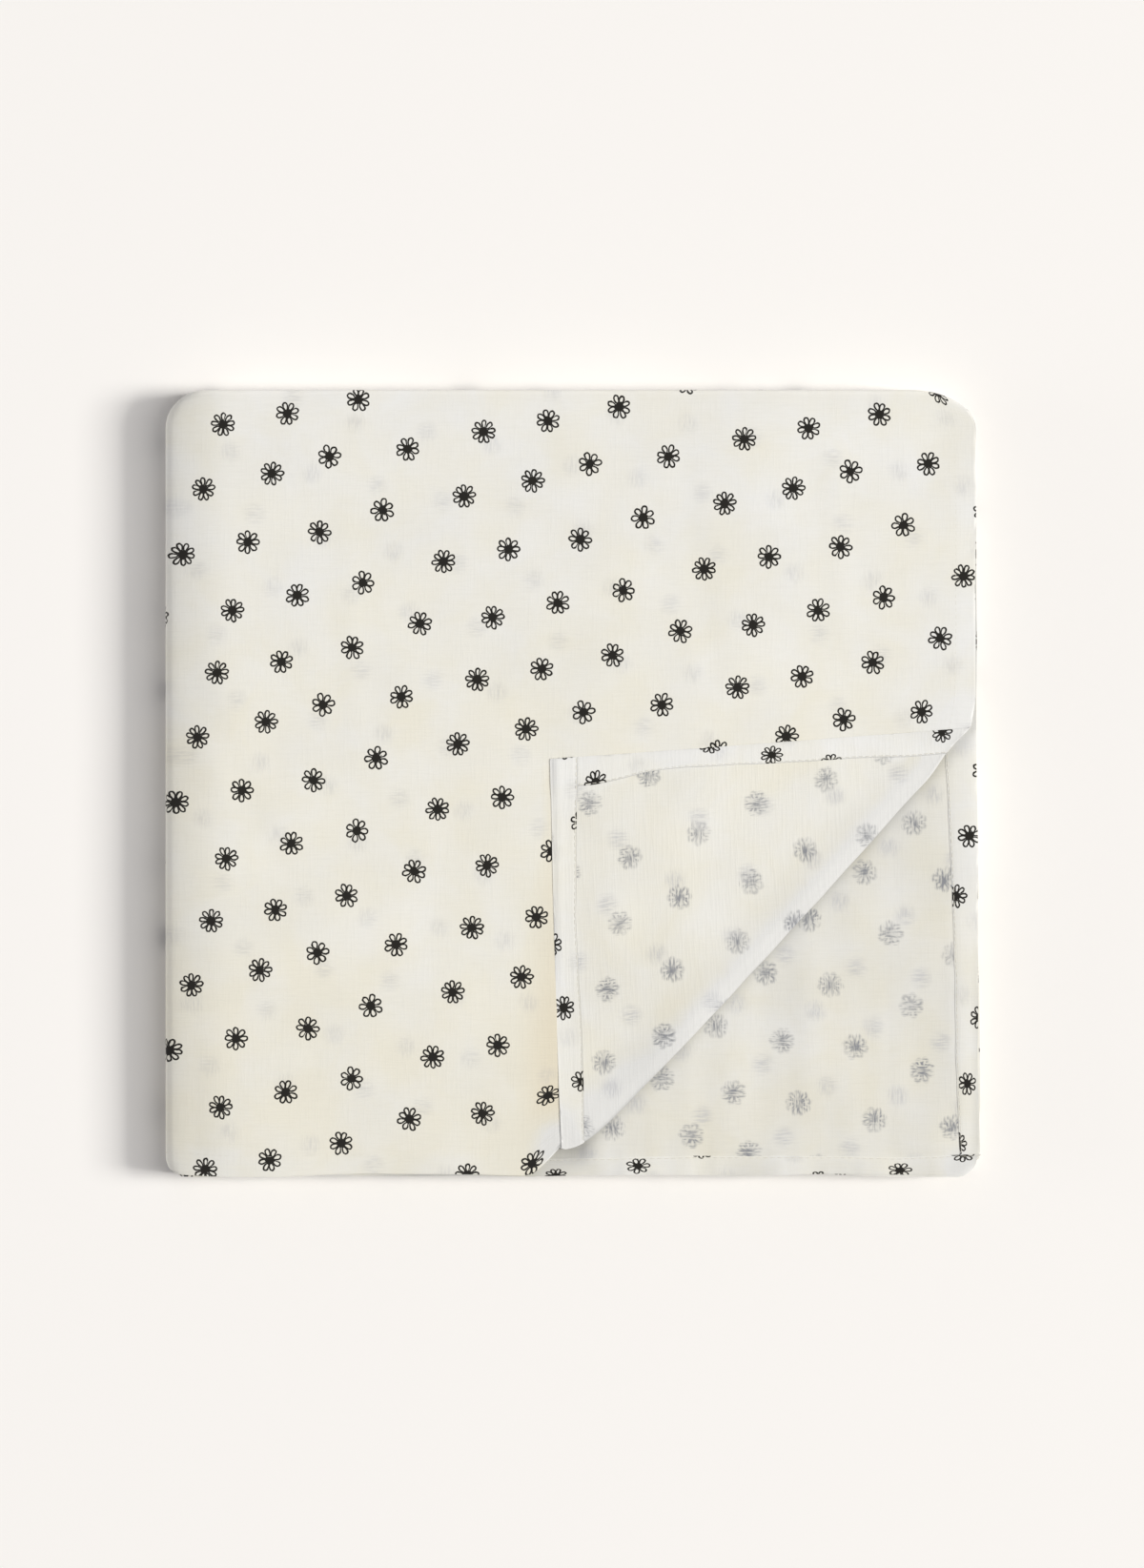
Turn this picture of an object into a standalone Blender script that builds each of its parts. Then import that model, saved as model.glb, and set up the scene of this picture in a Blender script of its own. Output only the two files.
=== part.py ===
"""A muslin swaddle blanket, folded small and lying flat.

One square cloth, printed side up, is folded in half four times, each time with the far
half going under: sideways, lengthways, lengthways again and sideways again. That gives
sixteen layers with plain folds on the left and at the top, and the hems on the right and
at the bottom. The top layer's bottom right corner is then turned back over itself.

The cloth starts as a flat sheet in the plane of its top layer, x to the right and y away
from the viewer. Every point of it is then carried round the folds in turn, so the stack
is one solid whose layers stay a little apart.
"""

import math

import bmesh
import bpy
from mathutils import Vector

MM = 0.001

# The folded stack, seen from above
STACK_WIDTH = 300 * MM
STACK_DEPTH = 290.5 * MM

# The cloth
LAYER_PITCH = 1.25 * MM
CLOTH_THICKNESS = 1.0 * MM
HEM_WIDTH = 10 * MM
HEM_RISE = 0.3 * MM  # how far a turned hem stands proud of the cloth's wrong side
HEM_STEP = 0.8 * MM  # width over which it rises

# How far the folds hidden below stay behind the outermost edge
SIDE_FOLD_SETBACK = 1.0 * MM
FRONT_FOLD_SETBACK = 2.0 * MM

# Each fold turns a number of layers under. It is cut into facets along its half turn.
SIDE_FOLD_LAYERS, SIDE_FOLD_FACETS = 1, 4  # the first, now in the stack's right side
FRONT_FOLD_LAYERS, FRONT_FOLD_FACETS = 2, 4  # the second, now in its front
BACK_FOLD_LAYERS, BACK_FOLD_FACETS = 4, 6  # the third, along the back edge
LEFT_FOLD_LAYERS, LEFT_FOLD_FACETS = 8, 8  # the last, round the left edge

# Distances between grid lines across one layer, counted from its free edge
EDGE_LINES = (0.0, 8 * MM, 20 * MM)
MOST_LINE_STEP = 52 * MM

# The corner that is turned back. Its fold's outer edge runs through these two points.
EAR_LINE_RIGHT = Vector((134.9, 6.2)) * MM
EAR_LINE_LEFT = Vector((20.8, -116.4)) * MM
EAR_RADIUS = 1.9 * MM  # of the mid surface, round the fold
EAR_FACETS = 6
EAR_DESCENT = 18 * MM  # over this distance the flap sinks from the fold onto the layer below
EAR_DESCENT_LINES = (0.25, 0.6, 1.0)
EAR_PULL = 7.7 * MM  # the flap's corner is drawn this far to the right
EAR_BOW = 1.0 * MM  # outward, half way along the fold
EAR_FLARE = 6.4 * MM  # the fold's left end swings up by this much
EAR_FLARE_START, EAR_FLARE_END = 185 * MM, 228 * MM  # along the fold from its right end
EAR_FADE = 30 * MM  # bow and flare die out over this distance from the fold

# Rounding of the stack's corners in plan: side x, side y, length along x, length along y
CORNERS = (
    (-1, +1, 15 * MM, 14 * MM),
    (-1, -1, 7 * MM, 7 * MM),
    (+1, +1, 24 * MM, 15 * MM),
    (+1, -1, 9 * MM, 9 * MM),
)

# Each layer's free hem wanders: how far it stays back, and the size, number and start of
# the waves along it (number and start in turns)
RIGHT_HEMS = {
    "upper": (0.6 * MM, 0.5 * MM, 1.3, 0.10),
    "lower": (1.4 * MM, 0.9 * MM, 2.1, 0.55),
}
FRONT_HEMS = {
    "upper": (0.8 * MM, 0.5 * MM, 1.7, 0.30),
    "lower": (0.2 * MM, 0.3 * MM, 2.6, 0.80),
}

# The pile bulges a little at its front right, and thins towards its hems
RIGHT_BULGE = 1.8 * MM
HEM_SIDE_HEIGHT = 0.92  # of the full height, at the right edge
FRONT_HEIGHT = 0.95  # of the full height, at the front edge
SLOPE_LENGTH = 110 * MM
SWELL = 0.02  # the soft waves in the pile's top, as a share of its height

CLOTH_COLOUR = (0.83, 0.81, 0.74, 1.0)
CLOTH_ROUGHNESS = 0.9

RIGHT = STACK_WIDTH / 2
FRONT = -STACK_DEPTH / 2


def fold_centre(layers):
    """Height of a fold's centre, with the top layer's mid surface at 0."""
    return (0.5 - layers) * LAYER_PITCH


def fold_span(layers):
    """Length of cloth in a fold's half turn, taken half way through its layers."""
    return math.pi * layers * LAYER_PITCH / 2


def fold_reach(layers):
    """How far a fold's outer face stands out from the line where its turn starts."""
    return (layers - 0.5) * LAYER_PITCH + CLOTH_THICKNESS / 2


LEFT_LINE = -STACK_WIDTH / 2 + fold_reach(LEFT_FOLD_LAYERS)
BACK_LINE = STACK_DEPTH / 2 - fold_reach(BACK_FOLD_LAYERS)
# The first two folds end up under the later ones, so their lines are counted from there.
SIDE_END = RIGHT - SIDE_FOLD_SETBACK - fold_reach(SIDE_FOLD_LAYERS)
FRONT_END = FRONT + FRONT_FOLD_SETBACK + fold_reach(FRONT_FOLD_LAYERS)
SIDE_LINE = 2 * LEFT_LINE - fold_span(LEFT_FOLD_LAYERS) - SIDE_END
FRONT_LINE = 2 * BACK_LINE + fold_span(BACK_FOLD_LAYERS) - FRONT_END

EAR_ALONG = (EAR_LINE_LEFT - EAR_LINE_RIGHT).normalized()
EAR_OUTWARD = Vector((-EAR_ALONG.y, EAR_ALONG.x))
EAR_SPAN = math.pi * EAR_RADIUS
EAR_START = EAR_LINE_RIGHT - EAR_OUTWARD * EAR_RADIUS


def smooth(value):
    """0 below 0, 1 above 1, and an even S between."""
    value = min(max(value, 0.0), 1.0)
    return value * value * (3 - 2 * value)


def even_lines(start, end, count):
    return [start + (end - start) * i / count for i in range(count + 1)]


def layer_lines(edge, fold_line):
    """Grid lines across a layer from its free edge to its fold, close together at the edge."""
    inward = math.copysign(1, fold_line - edge)
    lines = [edge + inward * distance for distance in EDGE_LINES]
    count = math.ceil(abs(fold_line - lines[-1]) / MOST_LINE_STEP)
    return lines[:-1] + even_lines(lines[-1], fold_line, count)


def sheet_lines(edge, outer_line, outer_span, outer_facets, inner_end, inner_span, inner_facets):
    """Grid lines across the whole flat sheet, which two folds divide into four layers.

    The outer fold is the one that is made last. A line and its mirror image in a fold come
    to lie over each other, so the facets of all the layers match.
    """
    away = math.copysign(1, outer_line - edge)
    first = layer_lines(edge, outer_line)
    outer_end = outer_line + away * outer_span
    outer = even_lines(outer_line, outer_end, outer_facets)[1:-1]
    mirrored = [outer_line + outer_end - line for line in reversed(first)]
    inner_line = outer_line + outer_end - inner_end
    second = [line for line in mirrored if away * (inner_line - line) > 3 * MM]
    half = first + outer + second + [inner_line]
    last = inner_line + away * inner_span
    inner = even_lines(inner_line, last, inner_facets)[1:-1]
    return half + inner + [inner_line + last - line for line in reversed(half)]


def turn(beyond, height, centre, span):
    """Carries a point round a half turn.

    `beyond` is its distance past the line where the turn starts. The answer is the new
    distance past that line and the new height.
    """
    if beyond <= 0:
        return beyond, height
    if beyond >= span:
        return span - beyond, 2 * centre - height
    angle = math.pi * beyond / span
    radius = height - centre
    return abs(radius) * math.sin(angle), centre + radius * math.cos(angle)


def under_fold(beyond, height, layers):
    return turn(beyond, height, fold_centre(layers), fold_span(layers))


def ear_place(x, y):
    """Distance past the turned corner's fold line, and along it from its right end."""
    offset = Vector((x, y)) - EAR_START
    return offset.dot(EAR_OUTWARD), offset.dot(EAR_ALONG)


def corner_distance():
    return ear_place(RIGHT, FRONT)[0] - EAR_SPAN


def turn_back_ear(x, y, z):
    """Turns the top layer's front right corner up and back over its fold line."""
    beyond, along = ear_place(x, y)
    if beyond <= -EAR_FADE:
        return x, y, z
    past, z = turn(beyond, z, EAR_RADIUS, EAR_SPAN)
    if beyond > EAR_SPAN:
        back = beyond - EAR_SPAN
        z -= (2 * EAR_RADIUS - LAYER_PITCH) * smooth(back / EAR_DESCENT)
        x += EAR_PULL * back / corner_distance()
    reach = EAR_LINE_LEFT - EAR_LINE_RIGHT
    bow = EAR_BOW * math.sin(math.pi * min(max(along / reach.length, 0), 1))
    flare = EAR_FLARE * smooth((along - EAR_FLARE_START) / (EAR_FLARE_END - EAR_FLARE_START))
    shift = (bow - flare) * smooth(1 - abs(past) / EAR_FADE)
    moved = (past - beyond + shift) * EAR_OUTWARD
    return x + moved.x, y + moved.y, z


def hem_wander(hem, along, length):
    """How far a free hem stays back from the stack's edge, at a place along it."""
    setback, size, waves, start = hem
    return setback + size * math.sin(2 * math.pi * (waves * along / length + start))


def shift_hems(x, y):
    """Moves the sheet's four free edges in or out, fading to nothing at the nearest fold."""
    left, back = sheet_far_corner()
    middle_x, middle_y = (RIGHT + left) / 2, (FRONT + back) / 2
    side = "upper" if x > middle_x else "lower"
    end = "upper" if y < middle_y else "lower"
    across = abs(x - middle_x) - abs(LEFT_LINE - middle_x)
    along = abs(y - middle_y) - abs(BACK_LINE - middle_y)
    across_share = max(across / (RIGHT - LEFT_LINE), 0)
    along_share = max(along / (BACK_LINE - FRONT), 0)
    inward_x = math.copysign(hem_wander(RIGHT_HEMS[side], y, STACK_DEPTH), middle_x - x)
    inward_y = math.copysign(hem_wander(FRONT_HEMS[end], x, STACK_WIDTH), middle_y - y)
    return x + inward_x * across_share, y + inward_y * along_share


def sheet_far_corner():
    """The flat sheet's left and back edges."""
    left = 2 * SIDE_LINE - fold_span(SIDE_FOLD_LAYERS) - RIGHT
    back = 2 * FRONT_LINE + fold_span(FRONT_FOLD_LAYERS) - FRONT
    return left, back


def round_corners(x, y):
    """Draws the stack's corners in, in plan."""
    for side_x, side_y, length_x, length_y in CORNERS:
        a = (side_x * x - (RIGHT - length_x)) / length_x
        b = (side_y * y - (-FRONT - length_y)) / length_y
        if a <= 0 or b <= 0:
            continue
        a, b = min(a, 1.05), min(b, 1.05)
        x = side_x * (RIGHT - length_x + length_x * a * math.sqrt(1 - b * b / 2))
        y = side_y * (-FRONT - length_y + length_y * b * math.sqrt(1 - a * a / 2))
    return x, y


def pile_height(x, y):
    """The share of its full height that the pile has at a place in plan."""
    side = 1 - (1 - HEM_SIDE_HEIGHT) * smooth(1 - (RIGHT - x) / SLOPE_LENGTH)
    front = 1 - (1 - FRONT_HEIGHT) * smooth(1 - (y - FRONT) / SLOPE_LENGTH)
    swell = math.sin(3.1 * x / STACK_WIDTH + 0.6) * math.sin(4.3 * y / STACK_DEPTH + 1.1)
    return side * front * (1 + SWELL * swell)


def fold_point(flat):
    """Where a point of the flat sheet ends up in the folded blanket."""
    x, y = shift_hems(flat.x, flat.y)
    x, y, z = turn_back_ear(x, y, flat.z)

    beyond, z = under_fold(SIDE_LINE - x, z, SIDE_FOLD_LAYERS)
    x = SIDE_LINE - beyond
    beyond, z = under_fold(y - FRONT_LINE, z, FRONT_FOLD_LAYERS)
    y = FRONT_LINE + beyond
    beyond, z = under_fold(y - BACK_LINE, z, BACK_FOLD_LAYERS)
    y = BACK_LINE + beyond
    beyond, z = under_fold(LEFT_LINE - x, z, LEFT_FOLD_LAYERS)
    x = LEFT_LINE - beyond

    height = z + (2 * LEFT_FOLD_LAYERS - 1) * LAYER_PITCH + CLOTH_THICKNESS / 2
    height *= pile_height(x, y)
    x += RIGHT_BULGE * smooth((x + RIGHT) / STACK_WIDTH) * smooth(-y / -FRONT)
    x, y = round_corners(x, y)
    return Vector((x, y, height))


def cut(bm, inside, point, normal):
    """Cuts the sheet's faces that pass the `inside` test along a line in plan."""
    faces = [face for face in bm.faces if inside(face.calc_center_median())]
    edges = {edge for face in faces for edge in face.edges}
    verts = {vert for face in faces for vert in face.verts}
    bmesh.ops.bisect_plane(
        bm,
        geom=[*verts, *edges, *faces],
        dist=1e-6,
        plane_co=Vector((point[0], point[1], 0)),
        plane_no=Vector((normal[0], normal[1], 0)),
    )


def in_top_layer(place):
    return place.x > LEFT_LINE and place.y < BACK_LINE


def in_second_layer(place):
    left = sheet_far_corner()[0]
    return place.x < left + RIGHT - LEFT_LINE and place.y < BACK_LINE


def cut_ear_lines(bm):
    """Lines for the turned corner's fold, and for the flap's way down from it."""
    places = [EAR_SPAN * i / EAR_FACETS for i in range(EAR_FACETS + 1)]
    places += [EAR_SPAN + EAR_DESCENT * share for share in EAR_DESCENT_LINES]
    places += [-EAR_FADE / 2, -EAR_FADE]
    for place in places:
        cut(bm, in_top_layer, EAR_START + EAR_OUTWARD * place, EAR_OUTWARD)


def cut_hem_lines(bm):
    """Lines for the hems that show: the turned corner's, and those of the layer below it."""
    left = sheet_far_corner()[0]
    for inset in (HEM_WIDTH, HEM_WIDTH + HEM_STEP):
        cut(bm, in_top_layer, (RIGHT - inset, 0), (1, 0))
        cut(bm, in_second_layer, (left + inset, 0), (1, 0))
        for layer in (in_top_layer, in_second_layer):
            cut(bm, layer, (0, FRONT + inset), (0, 1))


def hem_rise(x, y):
    """How far the hem stands proud at a place of the flat sheet.

    Hems pressed between two layers are as flat as the cloth. Only those in the open, past
    the turned corner's fold, stand up.
    """
    left = sheet_far_corner()[0]
    inset = min(RIGHT - x, x - left, y - FRONT)
    shown_x = x if x > LEFT_LINE else RIGHT - (x - left)
    open_air = smooth((ear_place(shown_x, y)[0] - EAR_SPAN - 2 * MM) / (6 * MM))
    return HEM_RISE * open_air * min(max((HEM_WIDTH + HEM_STEP - inset) / HEM_STEP, 0), 1)


def flat_sheet():
    """The cloth before folding: closed, of even thickness, its mid surface at height 0."""
    columns = sheet_lines(
        RIGHT,
        LEFT_LINE,
        fold_span(LEFT_FOLD_LAYERS),
        LEFT_FOLD_FACETS,
        SIDE_END,
        fold_span(SIDE_FOLD_LAYERS),
        SIDE_FOLD_FACETS,
    )
    rows = sheet_lines(
        FRONT,
        BACK_LINE,
        fold_span(BACK_FOLD_LAYERS),
        BACK_FOLD_FACETS,
        FRONT_END,
        fold_span(FRONT_FOLD_LAYERS),
        FRONT_FOLD_FACETS,
    )
    bm = bmesh.new()
    last_column, last_row = len(columns) - 1, len(rows) - 1
    bmesh.ops.create_grid(bm, x_segments=last_column, y_segments=last_row, size=1)
    for vert in bm.verts:
        column = round((1 + vert.co.x) / 2 * last_column)
        row = round((1 + vert.co.y) / 2 * last_row)
        vert.co = (columns[last_column - column], rows[row], 0)
    cut_ear_lines(bm)
    cut_hem_lines(bm)
    bmesh.ops.triangulate(bm, faces=[face for face in bm.faces if len(face.verts) != 4])

    wrong_side = bmesh.ops.extrude_face_region(bm, geom=bm.faces[:])["geom"]
    for vert in bm.verts:
        vert.co.z = CLOTH_THICKNESS / 2
    for vert in wrong_side:
        if isinstance(vert, bmesh.types.BMVert):
            vert.co.z = -CLOTH_THICKNESS / 2 - hem_rise(vert.co.x, vert.co.y)
    bmesh.ops.recalc_face_normals(bm, faces=bm.faces)
    return bm


def stand_on_origin(bm):
    """Moves the blanket so that the middle of its underside is at the origin."""
    lowest = Vector([min(vert.co[axis] for vert in bm.verts) for axis in range(3)])
    highest = Vector([max(vert.co[axis] for vert in bm.verts) for axis in range(3)])
    middle = (lowest + highest) / 2
    bmesh.ops.translate(bm, verts=bm.verts, vec=(-middle.x, -middle.y, -lowest.z))


def muslin_material():
    material = bpy.data.materials.new("printed_cotton_muslin")
    material.use_nodes = True
    shader = material.node_tree.nodes["Principled BSDF"]
    shader.inputs["Base Color"].default_value = CLOTH_COLOUR
    shader.inputs["Roughness"].default_value = CLOTH_ROUGHNESS
    shader.inputs["Metallic"].default_value = 0.0
    return material


def build_blanket():
    bm = flat_sheet()
    for vert in bm.verts:
        vert.co = fold_point(vert.co)
    stand_on_origin(bm)
    mesh = bpy.data.meshes.new("muslin_cloth")
    bm.to_mesh(mesh)
    bm.free()
    mesh.materials.append(muslin_material())
    mesh.shade_smooth()
    mesh.set_sharp_from_angle(angle=math.radians(50))
    blanket = bpy.data.objects.new("muslin_cloth", mesh)
    bpy.context.scene.collection.objects.link(blanket)


for old in list(bpy.data.objects):
    bpy.data.objects.remove(old)
build_blanket()
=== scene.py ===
"""The looks of a folded muslin swaddle blanket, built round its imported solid.

The cloth is one thin sheet. It is made flat, with its hems turned to the wrong side, and
every point of it is then carried round the blanket's folds. Run as a script, or from
Blender's text editor.
"""

import math
from functools import partial

import bmesh
import bpy
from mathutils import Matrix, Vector, noise


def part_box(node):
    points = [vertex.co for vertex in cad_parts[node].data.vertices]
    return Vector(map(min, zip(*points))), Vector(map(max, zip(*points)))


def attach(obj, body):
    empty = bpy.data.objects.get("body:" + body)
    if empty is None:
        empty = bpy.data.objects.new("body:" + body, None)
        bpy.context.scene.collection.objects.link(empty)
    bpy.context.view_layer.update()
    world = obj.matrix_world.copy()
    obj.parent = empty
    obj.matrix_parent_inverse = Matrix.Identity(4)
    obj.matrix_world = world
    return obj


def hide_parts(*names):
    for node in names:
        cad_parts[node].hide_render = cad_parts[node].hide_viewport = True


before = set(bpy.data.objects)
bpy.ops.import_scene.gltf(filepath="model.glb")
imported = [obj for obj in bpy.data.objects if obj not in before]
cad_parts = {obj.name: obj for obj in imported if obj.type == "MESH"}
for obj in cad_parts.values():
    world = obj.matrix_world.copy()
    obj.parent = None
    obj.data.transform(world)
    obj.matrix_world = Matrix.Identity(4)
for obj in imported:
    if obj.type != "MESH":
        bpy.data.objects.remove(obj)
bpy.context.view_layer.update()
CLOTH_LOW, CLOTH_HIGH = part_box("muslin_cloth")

bl_info = {
    "name": "Folded muslin swaddle",
    "version": (1, 0, 0),
    "blender": (4, 5, 0),
    "location": "3D View > Sidebar > Swaddle",
    "description": "Builds a printed muslin swaddle blanket, folded small, and a plain stage for it",
    "category": "Object",
}

MM = 0.001

# The pile's outline, from the frame. Its right side bulges a little at the front.
RIGHT_BULGE = 1.8 * MM
LEFT = CLOTH_LOW.x
RIGHT = CLOTH_HIGH.x - RIGHT_BULGE
FRONT = CLOTH_LOW.y
BACK = CLOTH_HIGH.y
WIDTH = RIGHT - LEFT
DEPTH = BACK - FRONT
MIDDLE = Vector(((RIGHT + LEFT) / 2, (FRONT + BACK) / 2))

# Layers that each fold turns under, in the order in which the folds are made
SIDE_FOLD, FRONT_FOLD, BACK_FOLD, LEFT_FOLD = 1, 2, 4, 8
SIDE_FOLD_SETBACK = 1.0 * MM
FRONT_FOLD_SETBACK = 2.0 * MM

# Finest and widest spacing of the sheet's grid lines, and facets round each half turn
SHOWN_STEP = 3.4 * MM
HIDDEN_STEP = 22 * MM
HEM_STEP = 2.5 * MM
HEM_FACETS = 5
LEFT_FACETS, BACK_FACETS, FRONT_FACETS, SIDE_FACETS = 16, 12, 10, 8
SHARP_ANGLE = math.radians(60)  # edges sharper than this aren't shaded smooth

# Turned hems: the air inside them, how far they are pressed, and their thinned cut edge
HEM_AIR = 0.04 * MM
HEM_PRESSED, HEM_PRESSED_REACH = 0.6, 1.4 * MM  # share of its thickness that an edge loses
HEM_THINNED, HEM_THINNING = 0.6 * MM, 0.5
HEM_CORNER_STEP = 1.5 * MM  # over this length a second hem climbs onto the first
HEM_RIPPLE, HEM_RIPPLE_SIZE = 0.25 * MM, 9 * MM
CUT_EDGE_WIDTH = 0.1 * MM

# The fold of the turned-back corner, as a line on the top layer: its outer edge runs
# through these two points
EAR_LINE_RIGHT = Vector((134.9, 6.2)) * MM
EAR_LINE_LEFT = Vector((20.8, -116.4)) * MM
EAR_HOLLOW = Vector((0.8, -136.0)) * MM  # the shaded corner under the fold's left end
EAR_BEGIN = Vector((146.0, 20.0)) * MM  # where the fold leaves the right edge
EAR_END = Vector((-4.6, -134.0)) * MM  # where the turned corner's own hem meets that end
EAR_LINE_STEP = 0.49 * MM  # spacing of the grid lines along the fold's round
EAR_PULL = 7.7 * MM
EAR_BOW = 1.0 * MM
EAR_WAVE, EAR_WAVE_SIZE = 0.4 * MM, 17 * MM
EAR_FADE = 30 * MM
EAR_CREST = 0.4 * MM
EAR_RISE, EAR_DESCENT = 5 * MM, 40 * MM
EAR_SHOWS = 146 * MM  # the second layer shows this far from its right edge
EAR_END_HEIGHT, EAR_END_REACH = 0.28, 36 * MM  # the fold is pressed flat towards its ends

# Extra grid lines beside that fold: before it and after it on the top layer, and on the
# second layer under its edge, in millimetres
LINES_BEFORE_EAR = (1, 3, 6)
LINES_AFTER_EAR = (0.8, 1.8, 3, 4.2, 5.5, 7.5, 10, 13, 17, 22)
LINES_UNDER_EAR = (-1.5, 0, 0.8, 1.6, 2.6, 3.8, 5.2, 6.8)
SHORTEST_EDGE = 0.12 * MM
CUT_NEAR, MARGIN_CUT_NEAR = 2 * SHOWN_STEP, 5 * SHOWN_STEP  # faces within this are cut

# The turned corner stands up inside its hems by up to twice this, in soft billows
BILLOW, BILLOW_SIZE = 0.5 * MM, 26 * MM
BILLOW_FROM, BILLOW_OVER = 6 * MM, 20 * MM

# Where the turned corner's fold meets the front edge, the edge is drawn up by this much.
# It fades over these lengths to the left, to the right and away from the edge.
PLUCK_X = -5.8 * MM
PLUCK = 10.4 * MM
PLUCK_LEFT, PLUCK_RIGHT, PLUCK_DEEP = 11 * MM, 30 * MM, 42 * MM
PLUCK_LEFT_POWER, PLUCK_RIGHT_POWER = 1.2, 3.0

# The right edge is drawn in a little where the other end of that fold meets it
TUCK_Y = 14 * MM
TUCK = 2.6 * MM
TUCK_UP, TUCK_DOWN, TUCK_DEEP = 20 * MM, 16 * MM, 30 * MM

# The pile is pressed down under the turned corner, from just inside its left side
PRESSED_X = -6.0 * MM
PRESSED = 0.2 * MM
PRESSED_STEP, PRESSED_REACH = 4 * MM, 55 * MM
PRESSED_TOP, PRESSED_TOP_REACH = 16 * MM, 12 * MM

# Widths of the turned hems along the sheet's edges: place along the edge, width
RIGHT_HEM = ((-145, 10.9), (-132, 10.6), (-99, 6.6), (-34, 7.8), (6, 8.8), (60, 7.6), (145, 8.2))
FRONT_HEM = ((-150, 8.4), (-60, 7.4), (0, 9.0), (40, 9.5), (90, 8.6), (120, 9.5), (150, 10.4))
LOWER_RIGHT_HEM = ((-145, 7.4), (-60, 8.6), (-10, 10.4), (10, 11.3), (145, 9.0))
LOWER_FRONT_HEM = ((-150, 7.0), (0, 6.2), (60, 7.2), (110, 6.2), (150, 7.0))

# Rounding of the pile's corners in plan: side x, side y, length along x, length along y
CORNERS = (
    (-1, +1, 15 * MM, 14 * MM),
    (-1, -1, 7 * MM, 7 * MM),
    (+1, +1, 24 * MM, 15 * MM),
    (+1, -1, 6.5 * MM, 6.5 * MM),
)
CORNER_LIMIT = 1.05  # loose layers pass the pile's outline by this much at most

# How the pile loses height towards its hems, as in its solid, and towards its left fold
HEM_SIDE_HEIGHT, FRONT_HEIGHT, SLOPE_LENGTH = 0.92, 0.95, 110 * MM
LEFT_HEIGHT, LEFT_SLOPE_LENGTH = 0.79, 24 * MM
LEFT_SQUARENESS = 9.0  # 2 is a half round, and more is fuller in its corners
BACK_SQUARENESS = 4.0

# The pile's swell, as two sines across it, and its ripples: share of height, size, seed
SWELL, SWELL_TURNS, SWELL_STARTS = 0.02, (3.1, 4.3), (0.6, 1.1)
RIPPLES = ((0.012, 45 * MM, 1.7), (0.008, 19 * MM, 4.4))

# The sheet's free edges: how far they lie back on average, and how far and how often
# they wander from there
SIDE_BACK, SIDE_WANDER, SIDE_WAVE = 0.3 * MM, 0.6 * MM, 90 * MM
END_BACK, END_WANDER, END_WAVE = 0.6 * MM, 0.9 * MM, 80 * MM
APART = 40 * MM  # opposite edges read the noise this far apart

# The pile's loose edges: layers slip sideways and sag, and the rims droop
LOOSE_REACH = 45 * MM
SIDE_SLIP, FRONT_SLIP, SLIP_SIZE, SLIP_STRETCH = 1.1 * MM, 1.0 * MM, 4.5 * MM, 0.12
SAG, SAG_SIZE, SAG_STRETCH = 0.45 * MM, 5 * MM, 0.2
SIDE_DROOP, SIDE_DROOP_REACH = 0.2 * MM, 7 * MM
FRONT_DROOP, FRONT_DROOP_REACH = 0.4 * MM, 6 * MM
FLOOR_HOLDS = 3 * MM  # nothing sags below this height
TOP_FROM, TOP_OVER = 0.6, 0.35  # where the top's creases begin, as shares of the height

# Soft creases in the top layer: start, end, half width, height
CREASES = (
    ((-112, -74), (-38, -77), 6.0, 0.30),
    ((-96, -101), (-24, -106), 5.0, -0.30),
    ((-120, -119), (-60, -117), 5.0, 0.28),
    ((-60, -52), (-12, -60), 7.0, -0.22),
    ((-84, 96), (-80, 20), 7.0, 0.16),
    ((40, 118), (52, 40), 8.0, -0.18),
    ((96, 120), (100, 58), 6.0, 0.16),
    ((-140, 40), (-110, -30), 8.0, -0.20),
)
CREASE_BEND, CREASE_BEND_SIZE = 0.4, 30 * MM

# Tints. Whiteness goes from cream to white, and shade darkens; most shade is painted shade, and shade
# below nothing is painted light. This is the whole pile's:
HEM_WHITENESS = 0.15
BACK_WHITENESS, BACK_WHITENESS_REACH = 0.3, 120 * MM
FRONT_CREAM, FRONT_CREAM_REACH = 0.15, 140 * MM
BROAD_WHITENESS, BROAD_WHITENESS_SIZE = 0.3, 18 * MM
BROAD_SHADE, BROAD_SHADE_SIZE = 0.025, 24 * MM
LOW_FROM, LOW_OVER = 5 * MM, 110 * MM  # many tints grow towards the turned corner's low end
# Painted shade on the right rim, and painted light at the back and left rims
RIGHT_RIM_SHADE, RIGHT_RIM_LOW_SHADE, RIGHT_RIM_AT, RIGHT_RIM_REACH = 0.05, 0.15, 1 * MM, 3 * MM
BACK_RIM_LIGHT, BACK_RIM_REACH = 0.2, 2.5 * MM
LEFT_RIM_LIGHT, LEFT_RIM_REACH = 0.24, 4.5 * MM

# The turned corner: its fold, with painted shade, the strip of cloth stretched over it, its edge, with
# painted light, and its hem, with a painted shadow line at its cut edge
FOLD_SHADE, FOLD_SHADE_RUN = 0.3, 16 * MM
FLAP_EDGE_LIGHT, FLAP_EDGE_REACH, FLAP_EDGE_RUN = 0.14, 1.5 * MM, 6 * MM
FLAP_CUT_SHADE = 0.4
FLAP_HEM_WHITENESS, FLAP_WHITENESS, FLAP_HEM_LIGHT = 0.4, 0.08, 0.02
# Painted shade on the turned corner near its fold
FLAP_SHADE, FLAP_SHADE_REACH = 0.08, 18 * MM
STRIP_WHITENESS, STRIP_WIDTH, STRIP_WIDENING = 1.1, 9 * MM, 10 * MM
STRIP_WIDENS_FROM, STRIP_WIDENS_OVER = 110 * MM, 90 * MM
FLAP_END_WHITENESS, FLAP_END_REACH = 0.35, 14 * MM
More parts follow.
